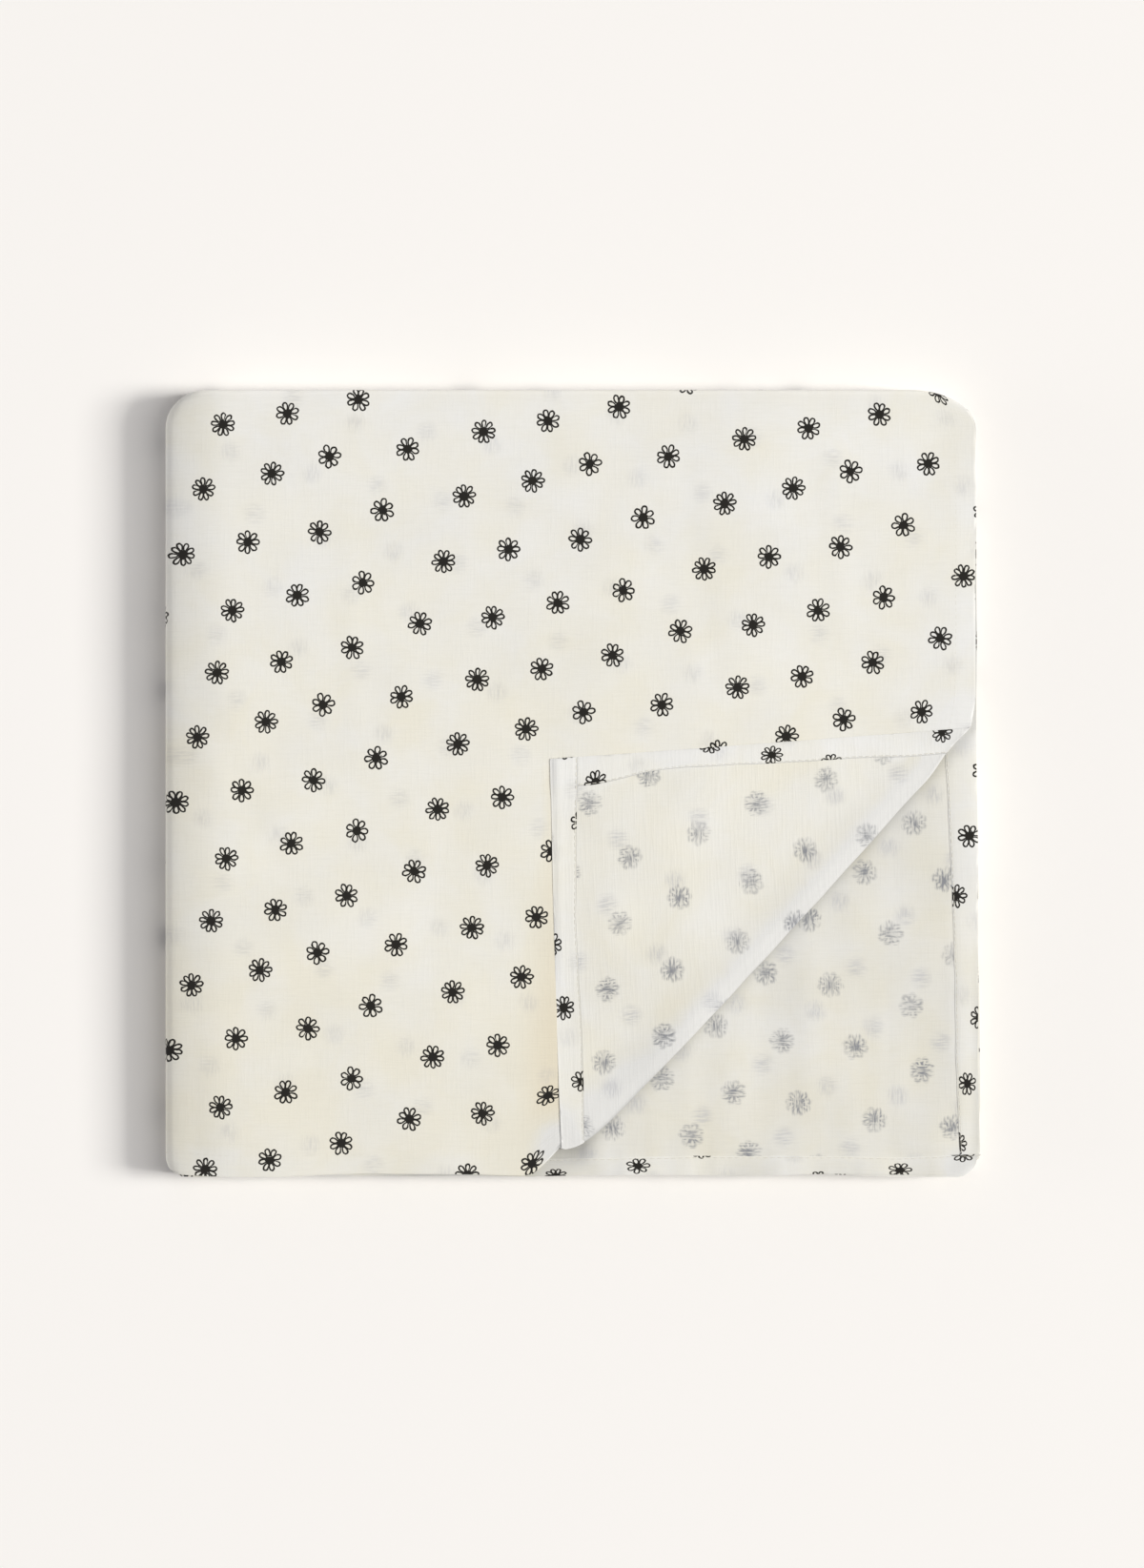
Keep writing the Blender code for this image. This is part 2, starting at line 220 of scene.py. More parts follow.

# The top layer beside the turned corner, with a warm painted shadow and painted shade there and
# painted shade towards the front, and whiter round both ends of its fold
BESIDE_X, BESIDE_WIDTH, BESIDE_LOW_WIDTH = PLUCK_X - 1 * MM, 5 * MM, 12 * MM
BESIDE_TOP, BESIDE_TOP_REACH = 12 * MM, 10 * MM
BESIDE_SHADOW_WARMTH, BESIDE_LOW_SHADOW_WARMTH = 0.5, 1.2
BESIDE_SHADE, BESIDE_LOW_SHADE = 0.02, 0.03
FRONT_SHADE, FRONT_SHADE_FROM, FRONT_SHADE_REACH = 0.03, 40 * MM, 90 * MM
FOLD_ENDS_WHITENESS = 1.2
FOLD_END_REACH, FOLD_BEGIN_SHARE, FOLD_BEGIN_REACH = 15 * MM, 0.7, 22 * MM

# The second layer, in the turned corner's lee: painted shade over it and along the fold's edge, less
# of it in its hems, and painted light on its cut edges
LEE_SHADE, LEE_EDGE_SHADE, LEE_EDGE_REACH = 0.075, 0.25, 6.5 * MM
LEE_HEM_LIGHT, LEE_CUT_LIGHT = 0.035, 0.1
LEE_WHITENESS = 0.2
# Painted shade over the puckers along its front hem
PUCKER_SHADE, PUCKER_WAVE, PUCKER_SIZE, PUCKER_REACH = 0.02, 0.13, 6 * MM, 12 * MM
# Its soft spots in plan, of painted shade and whiteness: middle, reach, fullness, whiteness, shade
LEE_SPOTS = (
    (EAR_HOLLOW, 9 * MM, 1.1, 0.0, 0.22),
    (EAR_HOLLOW, 12 * MM, 1.0, 0.5, 0.0),
    (Vector((142.0, -142.0)) * MM, 9 * MM, 1.1, 0.9, 0.06),
)
# Its soft streaks: whiteness, shade, size, how much shorter they are in y, seed
LEE_STREAKS = (
    (0.0, 0.035, 6 * MM, 0.12, 2.6),
    (0.0, 0.03, 15 * MM, 0.5, 6.6),
    (0.35, 0.0, 14 * MM, 0.4, 8.1),
)

# Daisy print, in millimetres: the two steps of its lattice, how many daisies repeat, how
# far they stray, and how many of them each row is set off by
PRINT_STEP_A = (25.8, 5.4, 0.0)
PRINT_STEP_B = (-7.0, -24.3, 0.0)
PRINT_REPEAT = 15
PRINT_JITTER = 2.9
PRINT_ROW_OFFSET = -4.0
SECOND_SEED = 40.3
DAISY_REACH = 2.8  # from the middle to the middle of a petal
REACH_VARIES, REACH_LESS = 0.45, 0.25
FEWEST_PETALS, MORE_PETALS = 7.0, 2.99
PETAL_HALF_LENGTH = 1.73
PETAL_HALF_WIDTH = 1.13
PETAL_LEAN = 0.08
PETAL_TAPER = 0.12
PLAIN_PETALS, CROWDING = 8.0, 0.6  # petals are narrower where there are more than eight
OUTLINE = 0.64
HEART_RADIUS = 1.68
WOBBLE, WOBBLE_SCALE = 0.22, 0.9
BLOT_EDGE, BLOT_MIDDLE = 5.4, 0.8
OWN_SOFTNESS, BACK_SOFTNESS, BELOW_SOFTNESS = 0.05, 0.45, 0.3
BELOW_SHIFT = Vector((0.117, 0.043))  # the print underneath is read this far off

# How strongly the layer underneath shows through each side, and the ink from behind.
# Four numbers are a Map Range's: from its first two to its last two.
PRINTED_SIDE_BELOW, WRONG_SIDE_BELOW, BELOW_LEAST = 0.24, 0.42, 0.25
BACK_INK_BROKEN, BACK_INK_UNEVEN = (0.0, 1.0, 0.03, 0.95), (0.35, 0.65, 1.35, 0.6)
BACK_BLOT = 0.22

# The muslin, in millimetres: its thread spacing, and the relief of its weave and slubs.
# A real gauze's spacing, perhaps 0.45, is too fine to show here, so it is drawn coarser.
THREAD_SPACING = 0.62
WEAVE_RELIEF = 0.003
SLUB_RELIEF = 0.1
SLUB_STRETCH, SLUB_SHIFT = (1.1, 0.07), 3.0
STREAK_STRETCH, STREAK_SHIFT, STREAK_EDGES = (1.5, 0.2), 17.0, (0.4, 0.6)
WARP_SLUB_EDGES, WEFT_SLUB_EDGES = (0.5, 0.8), (0.45, 0.75)
WARP_SLUBS, WEFT_SLUBS = 0.4, 0.6
WAY_SCALE, WAY_EDGES = 0.035, (0.46, 0.54)
MOTTLING, THREAD_LIGHT = (0.3, 0.7, 0.0, 0.6), (0.0, 0.8, 0.975, 0.95)
# Where whiteness is below nothing the ground warms; beside the turned corner that warmth is a painted
# shadow
WARMING, TINT_LIGHT, STREAK_LIGHT = -0.35, 0.06, -0.014
TINT_NOISE = {"Scale": 0.045, "Detail": 3.0, "Roughness": 0.6, "Distortion": 0.4}

# The hems' stitches start and end this far in, and are sunk by this share of their thread
STITCHES_END, STITCH_SUNK = 1 * MM, 0.35

# The kinds of nodes that the materials use most
MATH, VECTOR_MATH, MAP_RANGE = "ShaderNodeMath", "ShaderNodeVectorMath", "ShaderNodeMapRange"
MIX, NOISE, GROUP = "ShaderNodeMix", "ShaderNodeTexNoise", "ShaderNodeGroup"
SPLIT, JOIN, RANDOM = "ShaderNodeSeparateXYZ", "ShaderNodeCombineXYZ", "ShaderNodeTexWhiteNoise"


def smooth(value):
    """0 below 0, 1 above 1, and an even S between."""
    value = min(max(value, 0.0), 1.0)
    return value * value * (3 - 2 * value)


def fade(distance, reach, fullness=1.0):
    """1 at no distance and 0 from the reach on. More fullness makes the middle wider."""
    return smooth(fullness - distance / reach)


def turn(beyond, height, centre, span, squareness=2):
    """Carries a point round a half turn.

    `beyond` is its distance past the line where the turn starts. The answer is the new
    distance past that line and the new height.
    """
    if beyond <= 0:
        return beyond, height
    if beyond >= span:
        return span - beyond, 2 * centre - height
    angle = math.pi * beyond / span
    out, up = math.sin(angle), math.cos(angle)
    radius = height - centre
    radius /= (out**squareness + abs(up) ** squareness) ** (1 / squareness)
    return abs(radius) * out, centre + radius * up


def along_table(table, place):
    """Reads a table of (place, value) pairs in millimetres, smoothly between its rows."""
    place /= MM
    for (start, low), (end, high) in zip(table, table[1:]):
        if place < end:
            return (low + (high - low) * smooth((place - start) / (end - start))) * MM
    return table[-1][1] * MM


def spread(start, end, step):
    """Evenly spaced places from start to end, both included, at most a step apart."""
    count = max(1, math.ceil(abs(end - start) / step - 1e-6))
    return [start + (end - start) * i / count for i in range(count + 1)]


def lines_through(lines, *marks):
    """Adds lines up to each mark in turn. A mark is a place and the widest step to it."""
    for mark, step in marks:
        lines = lines + spread(lines[-1], mark, step)[1:]
    return lines


def wave(place, size, seed):
    """Smooth noise between -1 and 1 that changes over a distance `size`."""
    return noise.noise(Vector(place) / size + Vector((seed, seed * 0.37, -seed)))


class FoldedCloth:
    """Where each point of the flat cloth comes to lie in the folded pile.

    Flat places are in the plane of the top layer: x to the right, y away from the viewer,
    and the height above the middle of the cloth, printed side up.
    """

    def __init__(self, settings):
        self.pitch = settings.layer_pitch
        self.thickness = settings.cloth_thickness
        self.hem_width = settings.hem_width
        self.hem_gap = settings.cloth_thickness + HEM_AIR
        self.hem_span = math.pi * self.hem_gap / 2
        self.ear_radius = settings.corner_fold_radius
        self.ear_span = math.pi * self.ear_radius
        self.flap_level = self.thickness + HEM_AIR

        self.left_line = LEFT + self.reach(LEFT_FOLD)
        self.back_line = BACK - self.reach(BACK_FOLD)
        self.side_end = RIGHT - SIDE_FOLD_SETBACK - self.reach(SIDE_FOLD)
        self.front_end = FRONT + FRONT_FOLD_SETBACK + self.reach(FRONT_FOLD)
        self.side_line = 2 * self.left_line - self.span(LEFT_FOLD) - self.side_end
        self.front_line = 2 * self.back_line + self.span(BACK_FOLD) - self.front_end
        self.far_left = 2 * self.side_line - self.span(SIDE_FOLD) - RIGHT
        self.far_back = 2 * self.front_line + self.span(FRONT_FOLD) - FRONT
        self.middle = Vector(((RIGHT + self.far_left) / 2, (FRONT + self.far_back) / 2))

        self.ear_along = (EAR_LINE_LEFT - EAR_LINE_RIGHT).normalized()
        self.ear_outward = Vector((-self.ear_along.y, self.ear_along.x))
        self.ear_start = EAR_LINE_RIGHT - self.ear_outward * self.ear_radius
        self.ear_length = (EAR_LINE_LEFT - EAR_LINE_RIGHT).length

    def span(self, layers):
        """Length of flat cloth given to a fold's half turn."""
        return math.pi * layers * self.pitch / 2

    def reach(self, layers):
        """How far a fold's outer face stands out from the line where its turn starts."""
        return (layers - 0.5) * self.pitch + self.thickness / 2

    # The sheet's grid lines

    def columns(self):
        left, side = self.span(LEFT_FOLD), self.span(SIDE_FOLD)
        left_end, side_end = self.left_line - left, self.side_line - side
        mirror = self.side_line + side_end
        lines = lines_through(
            self.hem_lines(RIGHT, 1),
            (self.left_line, SHOWN_STEP),
            (left_end, left / LEFT_FACETS),
            (self.side_line, HIDDEN_STEP),
            (side_end, side / SIDE_FACETS),
            (mirror - left_end, HIDDEN_STEP),
            (mirror - self.left_line, left / LEFT_FACETS),
            (self.far_left + EAR_SHOWS, HIDDEN_STEP),
            (self.far_left + HEM_PRESSED_REACH, SHOWN_STEP),
        )
        return lines + self.hem_lines(self.far_left, -1)[-2::-1]

    def rows(self):
        back, front = self.span(BACK_FOLD), self.span(FRONT_FOLD)
        back_end, front_end = self.back_line + back, self.front_line + front
        mirror = self.front_line + front_end
        lines = lines_through(
            self.hem_lines(FRONT, -1),
            (self.back_line, SHOWN_STEP),
            (back_end, back / BACK_FACETS),
            (self.front_line, HIDDEN_STEP),
            (front_end, front / FRONT_FACETS),
            (mirror - back_end, HIDDEN_STEP),
            (mirror - self.back_line, back / BACK_FACETS),
            (self.far_back - HEM_PRESSED_REACH, HIDDEN_STEP),
        )
        return lines + self.hem_lines(self.far_back, 1)[-2::-1]

    def hem_lines(self, edge, side):
        """Lines of a turned hem, from its cut edge to just inside the finished edge."""
        turned = edge + side * self.hem_span
        cut_edge = turned + side * self.hem_width
        return lines_through(
            [cut_edge],
            (cut_edge - side * HEM_THINNED, HEM_THINNED),
            (turned + side * HEM_PRESSED_REACH, HEM_STEP),
            (turned, HEM_PRESSED_REACH / 2),
            (edge, self.hem_span / HEM_FACETS),
            (edge - side * HEM_PRESSED_REACH, HEM_PRESSED_REACH / 2),
        )

    def print_place(self, x, y):
        """The place on the cloth itself, for the print.

        The print runs along the cloth, so each fold's outermost layer sets its length there.
        """
        wrap, rise = self.span(LEFT_FOLD), self.span(BACK_FOLD)
        extra_x = math.pi * (LEFT_FOLD - 0.5) * self.pitch / wrap - 1
        extra_y = math.pi * (BACK_FOLD - 0.5) * self.pitch / rise - 1
        second_left = self.side_line * 2 - self.span(SIDE_FOLD) - self.left_line
        second_back = self.front_line * 2 + self.span(FRONT_FOLD) - self.back_line
        past = min(max(self.left_line - x, 0), wrap)
        past += min(max(second_left + wrap - x, 0), wrap)
        over = min(max(y - self.back_line, 0), rise)
        over += min(max(y - (second_back - rise), 0), rise)
        return x - extra_x * past, y + extra_y * over

    # The folds

    def hem_widths(self, x, y):
        """Widths of the hems nearest to a place: across x, then across y."""
        folded_x = x if x > self.middle.x else 2 * self.middle.x - x
        folded_y = y if y < self.middle.y else 2 * self.middle.y - y
        right = RIGHT_HEM if x > self.middle.x else LOWER_RIGHT_HEM
        front = FRONT_HEM if x > self.middle.x else LOWER_FRONT_HEM
        ripple = HEM_RIPPLE * wave((folded_x, folded_y, 0), HEM_RIPPLE_SIZE, 4.2)
        return along_table(right, folded_y) + ripple, along_table(front, folded_x) + ripple

    def turn_hem(self, past, z, width, layers):
        """Turns a margin to the wrong side, thinned to its cut edge and pressed at the fold."""
        if past > self.hem_span:
            share = (past - self.hem_span) / self.hem_width
            past = self.hem_span + share * width
            thinned = 1 - HEM_THINNING * fade((1 - share) * self.hem_width, HEM_THINNED)
            z = -self.thickness / 2 + (z + self.thickness / 2) * thinned
        past, z = turn(past, z, (0.5 - layers) * self.hem_gap, self.hem_span)
        pressed = 1 - HEM_PRESSED * fade(-past, HEM_PRESSED_REACH)
        return past, self.thickness / 2 + (z - self.thickness / 2) * pressed

    def turn_margins(self, at, z, low, high, width, layers):
        """Turns the margins past a low and a high edge, for places along one axis."""
        if at > high - HEM_PRESSED_REACH:
            beyond, z = self.turn_hem(at - high, z, width, layers)
            return high + beyond, z
        if at < low + HEM_PRESSED_REACH:
            beyond, z = self.turn_hem(low - at, z, width, layers)
            return low - beyond, z
        return at, z

    def turn_hems(self, x, y, z):
        """Turns the sheet's four margins to its wrong side: left and right, then the others.

        At a corner the second hem goes round both layers of the first.
        """
        width_x, width_y = self.hem_widths(x, y)
        x, z = self.turn_margins(x, z, self.far_left, RIGHT, width_x, 1)
        inside_x = min(RIGHT - x, x - self.far_left) - width_x
        layers = 1 + fade(inside_x, HEM_CORNER_STEP)
        y, z = self.turn_margins(y, z, FRONT, self.far_back, width_y, layers)
        return x, y, z

    def wander(self, x, y):
        """Moves the sheet's four free edges in or out, fading to nothing at the nearest fold."""
        across = abs(x - self.middle.x) - abs(self.left_line - self.middle.x)
        along = abs(y - self.middle.y) - abs(self.back_line - self.middle.y)
        across = max(across / (RIGHT - self.left_line), 0)
        along = max(along / (self.back_line - FRONT), 0)
        to_middle_x = math.copysign(1, self.middle.x - x)
        to_middle_y = math.copysign(1, self.middle.y - y)
        back_x = SIDE_BACK + SIDE_WANDER * wave((y, to_middle_x * APART, 0), SIDE_WAVE, 3.1)
        back_y = END_BACK + END_WANDER * wave((x, to_middle_y * APART, 0), END_WAVE, 7.7)
        return x + to_middle_x * back_x * across, y + to_middle_y * back_y * along

    def ear_place(self, x, y):
        """Distance past the turned corner's fold line, and along it from its right end."""
        offset = Vector((x, y)) - self.ear_start
        return offset.dot(self.ear_outward), offset.dot(self.ear_along)

    def ear_bow(self, along):
        """How far the turned corner's fold bows out from its straight line."""
        share = min(max(along / self.ear_length, 0), 1)
        ripple = EAR_WAVE * wave((along, 0, 0), EAR_WAVE_SIZE, 2.2)
        return EAR_BOW * math.sin(math.pi * share) + ripple

    def turn_back_ear(self, x, y, z):
        """Turns the top layer's front right corner up and back over its fold line."""
        beyond, along = self.ear_place(x, y)
        if beyond > -EAR_FADE:
            past, z = turn(beyond, z, self.ear_radius, self.ear_span)
            if beyond > self.ear_span:
                x, z = self.lay_flap(x, y, z, beyond - self.ear_span)
            to_end = min(along, self.ear_length - along)
            flat_end = (1 - EAR_END_HEIGHT) * fade(to_end, EAR_END_REACH)
            z *= 1 - flat_end * smooth(beyond / self.ear_span)
            shift = self.ear_bow(along) * fade(abs(past), EAR_FADE)
            moved = (past - beyond + shift) * self.ear_outward
            x, y = x + moved.x, y + moved.y
        return x - self.tuck(x, y), y + self.pluck(x, y), z

    def lay_flap(self, x, y, z, back):
        """Lowers the turned corner from its fold onto the pile, with its crest and billows.

        `back` is the distance from the fold.
        """
        tip = self.ear_place(RIGHT, FRONT)[0] - self.ear_span
        down = smooth((back - EAR_RISE) / EAR_DESCENT)
        z += EAR_CREST * smooth(back / EAR_RISE) * (1 - down)
        z -= (2 * self.ear_radius - self.flap_level) * down
        x += EAR_PULL * back / tip
        inside = smooth((min(RIGHT - x, y - FRONT) - BILLOW_FROM) / BILLOW_OVER)
        z += BILLOW * down * inside * (1 + wave((x, y, 0), BILLOW_SIZE, 5.3))
        return x, z

    def pluck(self, x, y):
        """How far the top layer's front edge is drawn up where the corner's fold ends."""
        right = x > PLUCK_X
        reach = PLUCK_RIGHT if right else PLUCK_LEFT
        power = PLUCK_RIGHT_POWER if right else PLUCK_LEFT_POWER
        near = max(1 - abs(x - PLUCK_X) / reach, 0)
        return PLUCK * near**power * fade(y - FRONT, PLUCK_DEEP)

    def tuck(self, x, y):
        """How far the top layer's right edge is drawn in at the fold's other end."""
        reach = TUCK_UP if y > TUCK_Y else TUCK_DOWN
        return TUCK * fade(abs(y - TUCK_Y), reach) * fade(RIGHT - x, TUCK_DEEP)

    def crease(self, x, y):
        """Height of the top layer's soft creases at a place in plan."""
        total = 0.0
        bend = 1 + CREASE_BEND * wave((x, y, 0), CREASE_BEND_SIZE, 9.1)
        for start, end, half_width, height in CREASES:
            start, end = Vector(start) * MM, Vector(end) * MM
            run = end - start
            share = (Vector((x, y)) - start).dot(run) / run.length_squared
            nearest = start + run * min(max(share, 0), 1)
            away = (Vector((x, y)) - nearest).length * bend
            total += height * MM * fade(away, half_width * MM)
        return total

    def pile_height(self, x, y):
        """The share of its full height that the pile has at a place in plan."""
        side = 1 - (1 - HEM_SIDE_HEIGHT) * fade(RIGHT - x, SLOPE_LENGTH)
        front = 1 - (1 - FRONT_HEIGHT) * fade(y - FRONT, SLOPE_LENGTH)
        left = 1 - (1 - LEFT_HEIGHT) * max(1 - (x - LEFT) / LEFT_SLOPE_LENGTH, 0) ** 2
        swell = SWELL * math.sin(SWELL_TURNS[0] * x / WIDTH + SWELL_STARTS[0])
        swell *= math.sin(SWELL_TURNS[1] * y / DEPTH + SWELL_STARTS[1])
        ripple = sum(share * wave((x, y, 0), size, seed) for share, size, seed in RIPPLES)
        return side * front * left * (1 + swell + ripple)

    def settle(self, x, y, z):
        """The pile's own unevenness: layers that have slipped, sagged edges, creases."""
        off_floor = smooth(z / FLOOR_HOLDS)
        to_right = fade(RIGHT - x, LOOSE_REACH)
        to_front = fade(y - FRONT, LOOSE_REACH)
        x_slip = SIDE_SLIP * to_right * wave((0, y * SLIP_STRETCH, z), SLIP_SIZE, 6.2)
        y_slip = FRONT_SLIP * to_front * wave((x * SLIP_STRETCH, 0, z), SLIP_SIZE, 8.9)
        sag = SAG * wave((x * SAG_STRETCH, y * SAG_STRETCH, z), SAG_SIZE, 2.9)
        droop = SIDE_DROOP * fade(RIGHT - x, SIDE_DROOP_REACH)
        droop += FRONT_DROOP * fade(y - FRONT, FRONT_DROOP_REACH)
        top = 2 * LEFT_FOLD * self.pitch
        relief = smooth((z - top * TOP_FROM) / (top * TOP_OVER))
        relief *= self.crease(x, y) - self.pressed(x, y)
        z += off_floor * (max(to_right, to_front) * sag - droop) + relief
        return x + x_slip, y + y_slip, z

    def pressed(self, x, y):
        """How far the turned corner presses the pile down at a place in plan."""
        into = smooth((x - PRESSED_X) / PRESSED_STEP)
        out_of = smooth((x - PRESSED_X - PRESSED_STEP) / PRESSED_REACH)
        return PRESSED * into * (1 - out_of) * smooth((PRESSED_TOP - y) / PRESSED_TOP_REACH)

    def round_corners(self, x, y):
        """Draws the pile's corners in, in plan."""
        x, y = x - MIDDLE.x, y - MIDDLE.y
        for side_x, side_y, length_x, length_y in CORNERS:
            a = (side_x * x - (WIDTH / 2 - length_x)) / length_x
            b = (side_y * y - (DEPTH / 2 - length_y)) / length_y
            if a <= 0 or b <= 0:
                continue
            a, b = min(a, CORNER_LIMIT), min(b, CORNER_LIMIT)
            x = side_x * (WIDTH / 2 - length_x + length_x * a * math.sqrt(1 - b * b / 2))
            y = side_y * (DEPTH / 2 - length_y + length_y * b * math.sqrt(1 - a * a / 2))
        return x + MIDDLE.x, y + MIDDLE.y

    def fold_under(self, at, z, line, side, layers, squareness=2):
        """Folds what lies past a line under the rest: past its high side (1) or low side (-1)."""
        centre = (0.5 - layers) * self.pitch
        beyond, z = turn(side * (at - line), z, centre, self.span(layers), squareness)
        return line + side * beyond, z

    def place(self, flat):
        """Where a point of the flat sheet ends up in the folded blanket."""
        x, y, z = self.turn_hems(flat.x, flat.y, flat.z)
        x, y = self.wander(x, y)
        x, y, z = self.turn_back_ear(x, y, z)
        x, z = self.fold_under(x, z, self.side_line, -1, SIDE_FOLD)
        y, z = self.fold_under(y, z, self.front_line, 1, FRONT_FOLD)
        y, z = self.fold_under(y, z, self.back_line, 1, BACK_FOLD, BACK_SQUARENESS)
        x, z = self.fold_under(x, z, self.left_line, -1, LEFT_FOLD, LEFT_SQUARENESS)

        z += (2 * LEFT_FOLD - 1) * self.pitch + self.thickness / 2
        x, y, z = self.settle(x, y, z)
        z *= self.pile_height(x, y)
        x += RIGHT_BULGE * smooth((x - LEFT) / WIDTH) * fade(y - FRONT, DEPTH / 2)
        x, y = self.round_corners(x, y)
        return Vector((x, y, max(z, 0.0)))

    # The tints. Each of these answers with a whiteness and a shade.

    def in_hem(self, flat):
        """Whether a flat place lies over a turned hem."""
        width_x, width_y = self.hem_widths(flat.x, flat.y)
        in_side = min(RIGHT - flat.x, flat.x - self.far_left) < width_x
        return in_side or min(flat.y - FRONT, self.far_back - flat.y) < width_y

    def on_cut_edge(self, flat):
        """Whether a flat place is on the cut edge of a hem's turned margin."""
        past_x = max(flat.x - RIGHT, self.far_left - flat.x)
        past_y = max(FRONT - flat.y, flat.y - self.far_back)
        return max(past_x, past_y) > self.hem_span + self.hem_width - CUT_EDGE_WIDTH

    def tint(self, flat, folded):
        """Whiteness and shade of the cloth at a place, on top of its even mottling.

        The cloth is whitest, and slightly blue, where it is doubled or stretched over the
        turned corner's fold. Beside the turned corner it carries a warm painted shadow, the
        second layer, in the corner's lee, is darkened by painted shade, and the rims and the
        fold carry painted shade and painted light.
        """
        low = smooth((LOW_FROM - folded.y) / LOW_OVER)
        tints = [self.pile_tint(flat, folded), (0.0, self.painted_rim_shade(folded, low))]
        beyond, along = self.ear_place(flat.x, flat.y)
        on_top = flat.x > self.left_line and flat.y < self.back_line
        if on_top and beyond > 0:
            tints.append(self.painted_fold_shade(flat, beyond, along, low))
            tints.append(self.flap_tint(flat, folded, beyond - self.ear_span, along, low))
        elif on_top:
            tints.append(self.beside_flap_tint_and_painted_shadow(folded, low))
        elif flat.x < self.middle.x:
            tints.append(self.lee_tint_and_painted_shade(flat, folded))
        return tuple(map(sum, zip(*tints)))

    def pile_tint(self, flat, folded):
        """Hems, the drift from a white back to a creamy front, and broad mottling."""
        whiteness = HEM_WHITENESS if self.in_hem(flat) else 0.0
        whiteness += BACK_WHITENESS * smooth(folded.y / BACK_WHITENESS_REACH)
        whiteness -= FRONT_CREAM * smooth(-folded.y / FRONT_CREAM_REACH)
        place = (folded.x, folded.y, 0)
        whiteness += BROAD_WHITENESS * wave(place, BROAD_WHITENESS_SIZE, 12.4)
        return whiteness, BROAD_SHADE * wave(place, BROAD_SHADE_SIZE, 15.2)

    def painted_rim_shade(self, folded, low):
        """Painted shade on the right rim, and painted light at the edge of the back and left rims."""
        from_right = CLOTH_HIGH.x - RIGHT_RIM_AT - folded.x
        right = (RIGHT_RIM_SHADE + RIGHT_RIM_LOW_SHADE * low) * fade(from_right, RIGHT_RIM_REACH)
        back = BACK_RIM_LIGHT * fade(BACK - folded.y, BACK_RIM_REACH)
        return right - back - LEFT_RIM_LIGHT * fade(folded.x - LEFT, LEFT_RIM_REACH)

    def painted_fold_shade(self, flat, beyond, along, low):
        """Painted shade on the turned corner's fold, painted light on its free edge, and a painted
        shadow line on its cut edge.
        """
        shade = FOLD_SHADE * fade(beyond, self.ear_span / 2, 2.5) * smooth(along / FOLD_SHADE_RUN)
        at_edge = fade(abs(FRONT - flat.y - self.hem_span / 2), FLAP_EDGE_REACH)
        shade -= FLAP_EDGE_LIGHT * (2 - low) * at_edge * smooth(beyond / FLAP_EDGE_RUN)
        return 0.0, shade + (FLAP_CUT_SHADE if self.on_cut_edge(flat) else 0.0)

    def flap_tint(self, flat, folded, back, along, low):
        """The turned corner: white in its hem and in a strip along its fold, with painted shade near
        its fold.
        """
        in_right_hem = flat.x > RIGHT - self.hem_widths(flat.x, flat.y)[0]
        whiteness = FLAP_HEM_WHITENESS if in_right_hem else FLAP_WHITENESS
        shade = FLAP_SHADE * fade(back, FLAP_SHADE_REACH, 1.3)
        shade -= FLAP_HEM_LIGHT if in_right_hem else 0.0
        widening = smooth((along - STRIP_WIDENS_FROM) / STRIP_WIDENS_OVER)
        whiteness += STRIP_WHITENESS * fade(back, STRIP_WIDTH + STRIP_WIDENING * widening, 1.2)
        whiteness += FLAP_END_WHITENESS * low * fade(folded.x - PLUCK_X, FLAP_END_REACH)
        return whiteness, shade

    def beside_flap_tint_and_painted_shadow(self, folded, low):
        """The top layer: a warm painted shadow and painted shade beside the turned corner, painted
        shade towards the front, and white round its fold's ends.
        """
        aside = abs(BESIDE_X - folded.x)
        beside = fade(aside, BESIDE_WIDTH + BESIDE_LOW_WIDTH * low)
        beside *= smooth((BESIDE_TOP - folded.y) / BESIDE_TOP_REACH)
        end = fade((folded.xy - EAR_END).length, FOLD_END_REACH, 1.2)
        end += FOLD_BEGIN_SHARE * fade((folded.xy - EAR_BEGIN).length, FOLD_BEGIN_REACH, 1.1)
        # A warm painted shadow beside the turned corner, with painted shade, and painted shade towards
        # the front
        painted_warm_shadow = (BESIDE_SHADOW_WARMTH + BESIDE_LOW_SHADOW_WARMTH * low) * beside * (1 - end)
        shade = (BESIDE_SHADE + BESIDE_LOW_SHADE * low) * beside
        shade += FRONT_SHADE * smooth((-FRONT_SHADE_FROM - folded.y) / FRONT_SHADE_REACH)
        return FOLD_ENDS_WHITENESS * end - painted_warm_shadow, shade

    def lee_tint_and_painted_shade(self, flat, folded):
        """The second layer: painted shade over it, along the turned corner's fold and in the hollow
        under its end, painted light on its cut edges, streaks, and painted shade over its puckers.
        """
        offset = folded.xy - EAR_LINE_RIGHT
        away = offset.dot(self.ear_outward) - self.ear_bow(offset.dot(self.ear_along))
        whiteness = LEE_WHITENESS
        shade = LEE_SHADE + LEE_EDGE_SHADE * max(1 - max(away, 0) / LEE_EDGE_REACH, 0) ** 2
        shade -= LEE_HEM_LIGHT if self.in_hem(flat) else 0.0
        shade -= LEE_CUT_LIGHT if self.on_cut_edge(flat) else 0.0
        for spot, reach, fullness, white, dark in LEE_SPOTS:
            near = fade((folded.xy - spot).length, reach, fullness)
            whiteness += white * near
            shade += dark * near
        for white, dark, size, shorter, seed in LEE_STREAKS:
            streak = wave((folded.x, folded.y * shorter, 0), size, seed)
            whiteness += white * streak
            shade += dark * streak
        puckers = PUCKER_SHADE + PUCKER_WAVE * wave((folded.x, 0, 0), PUCKER_SIZE, 3.8)
        return whiteness, shade + puckers * fade(folded.y - FRONT, PUCKER_REACH, 1.1)


# The cloth's mesh


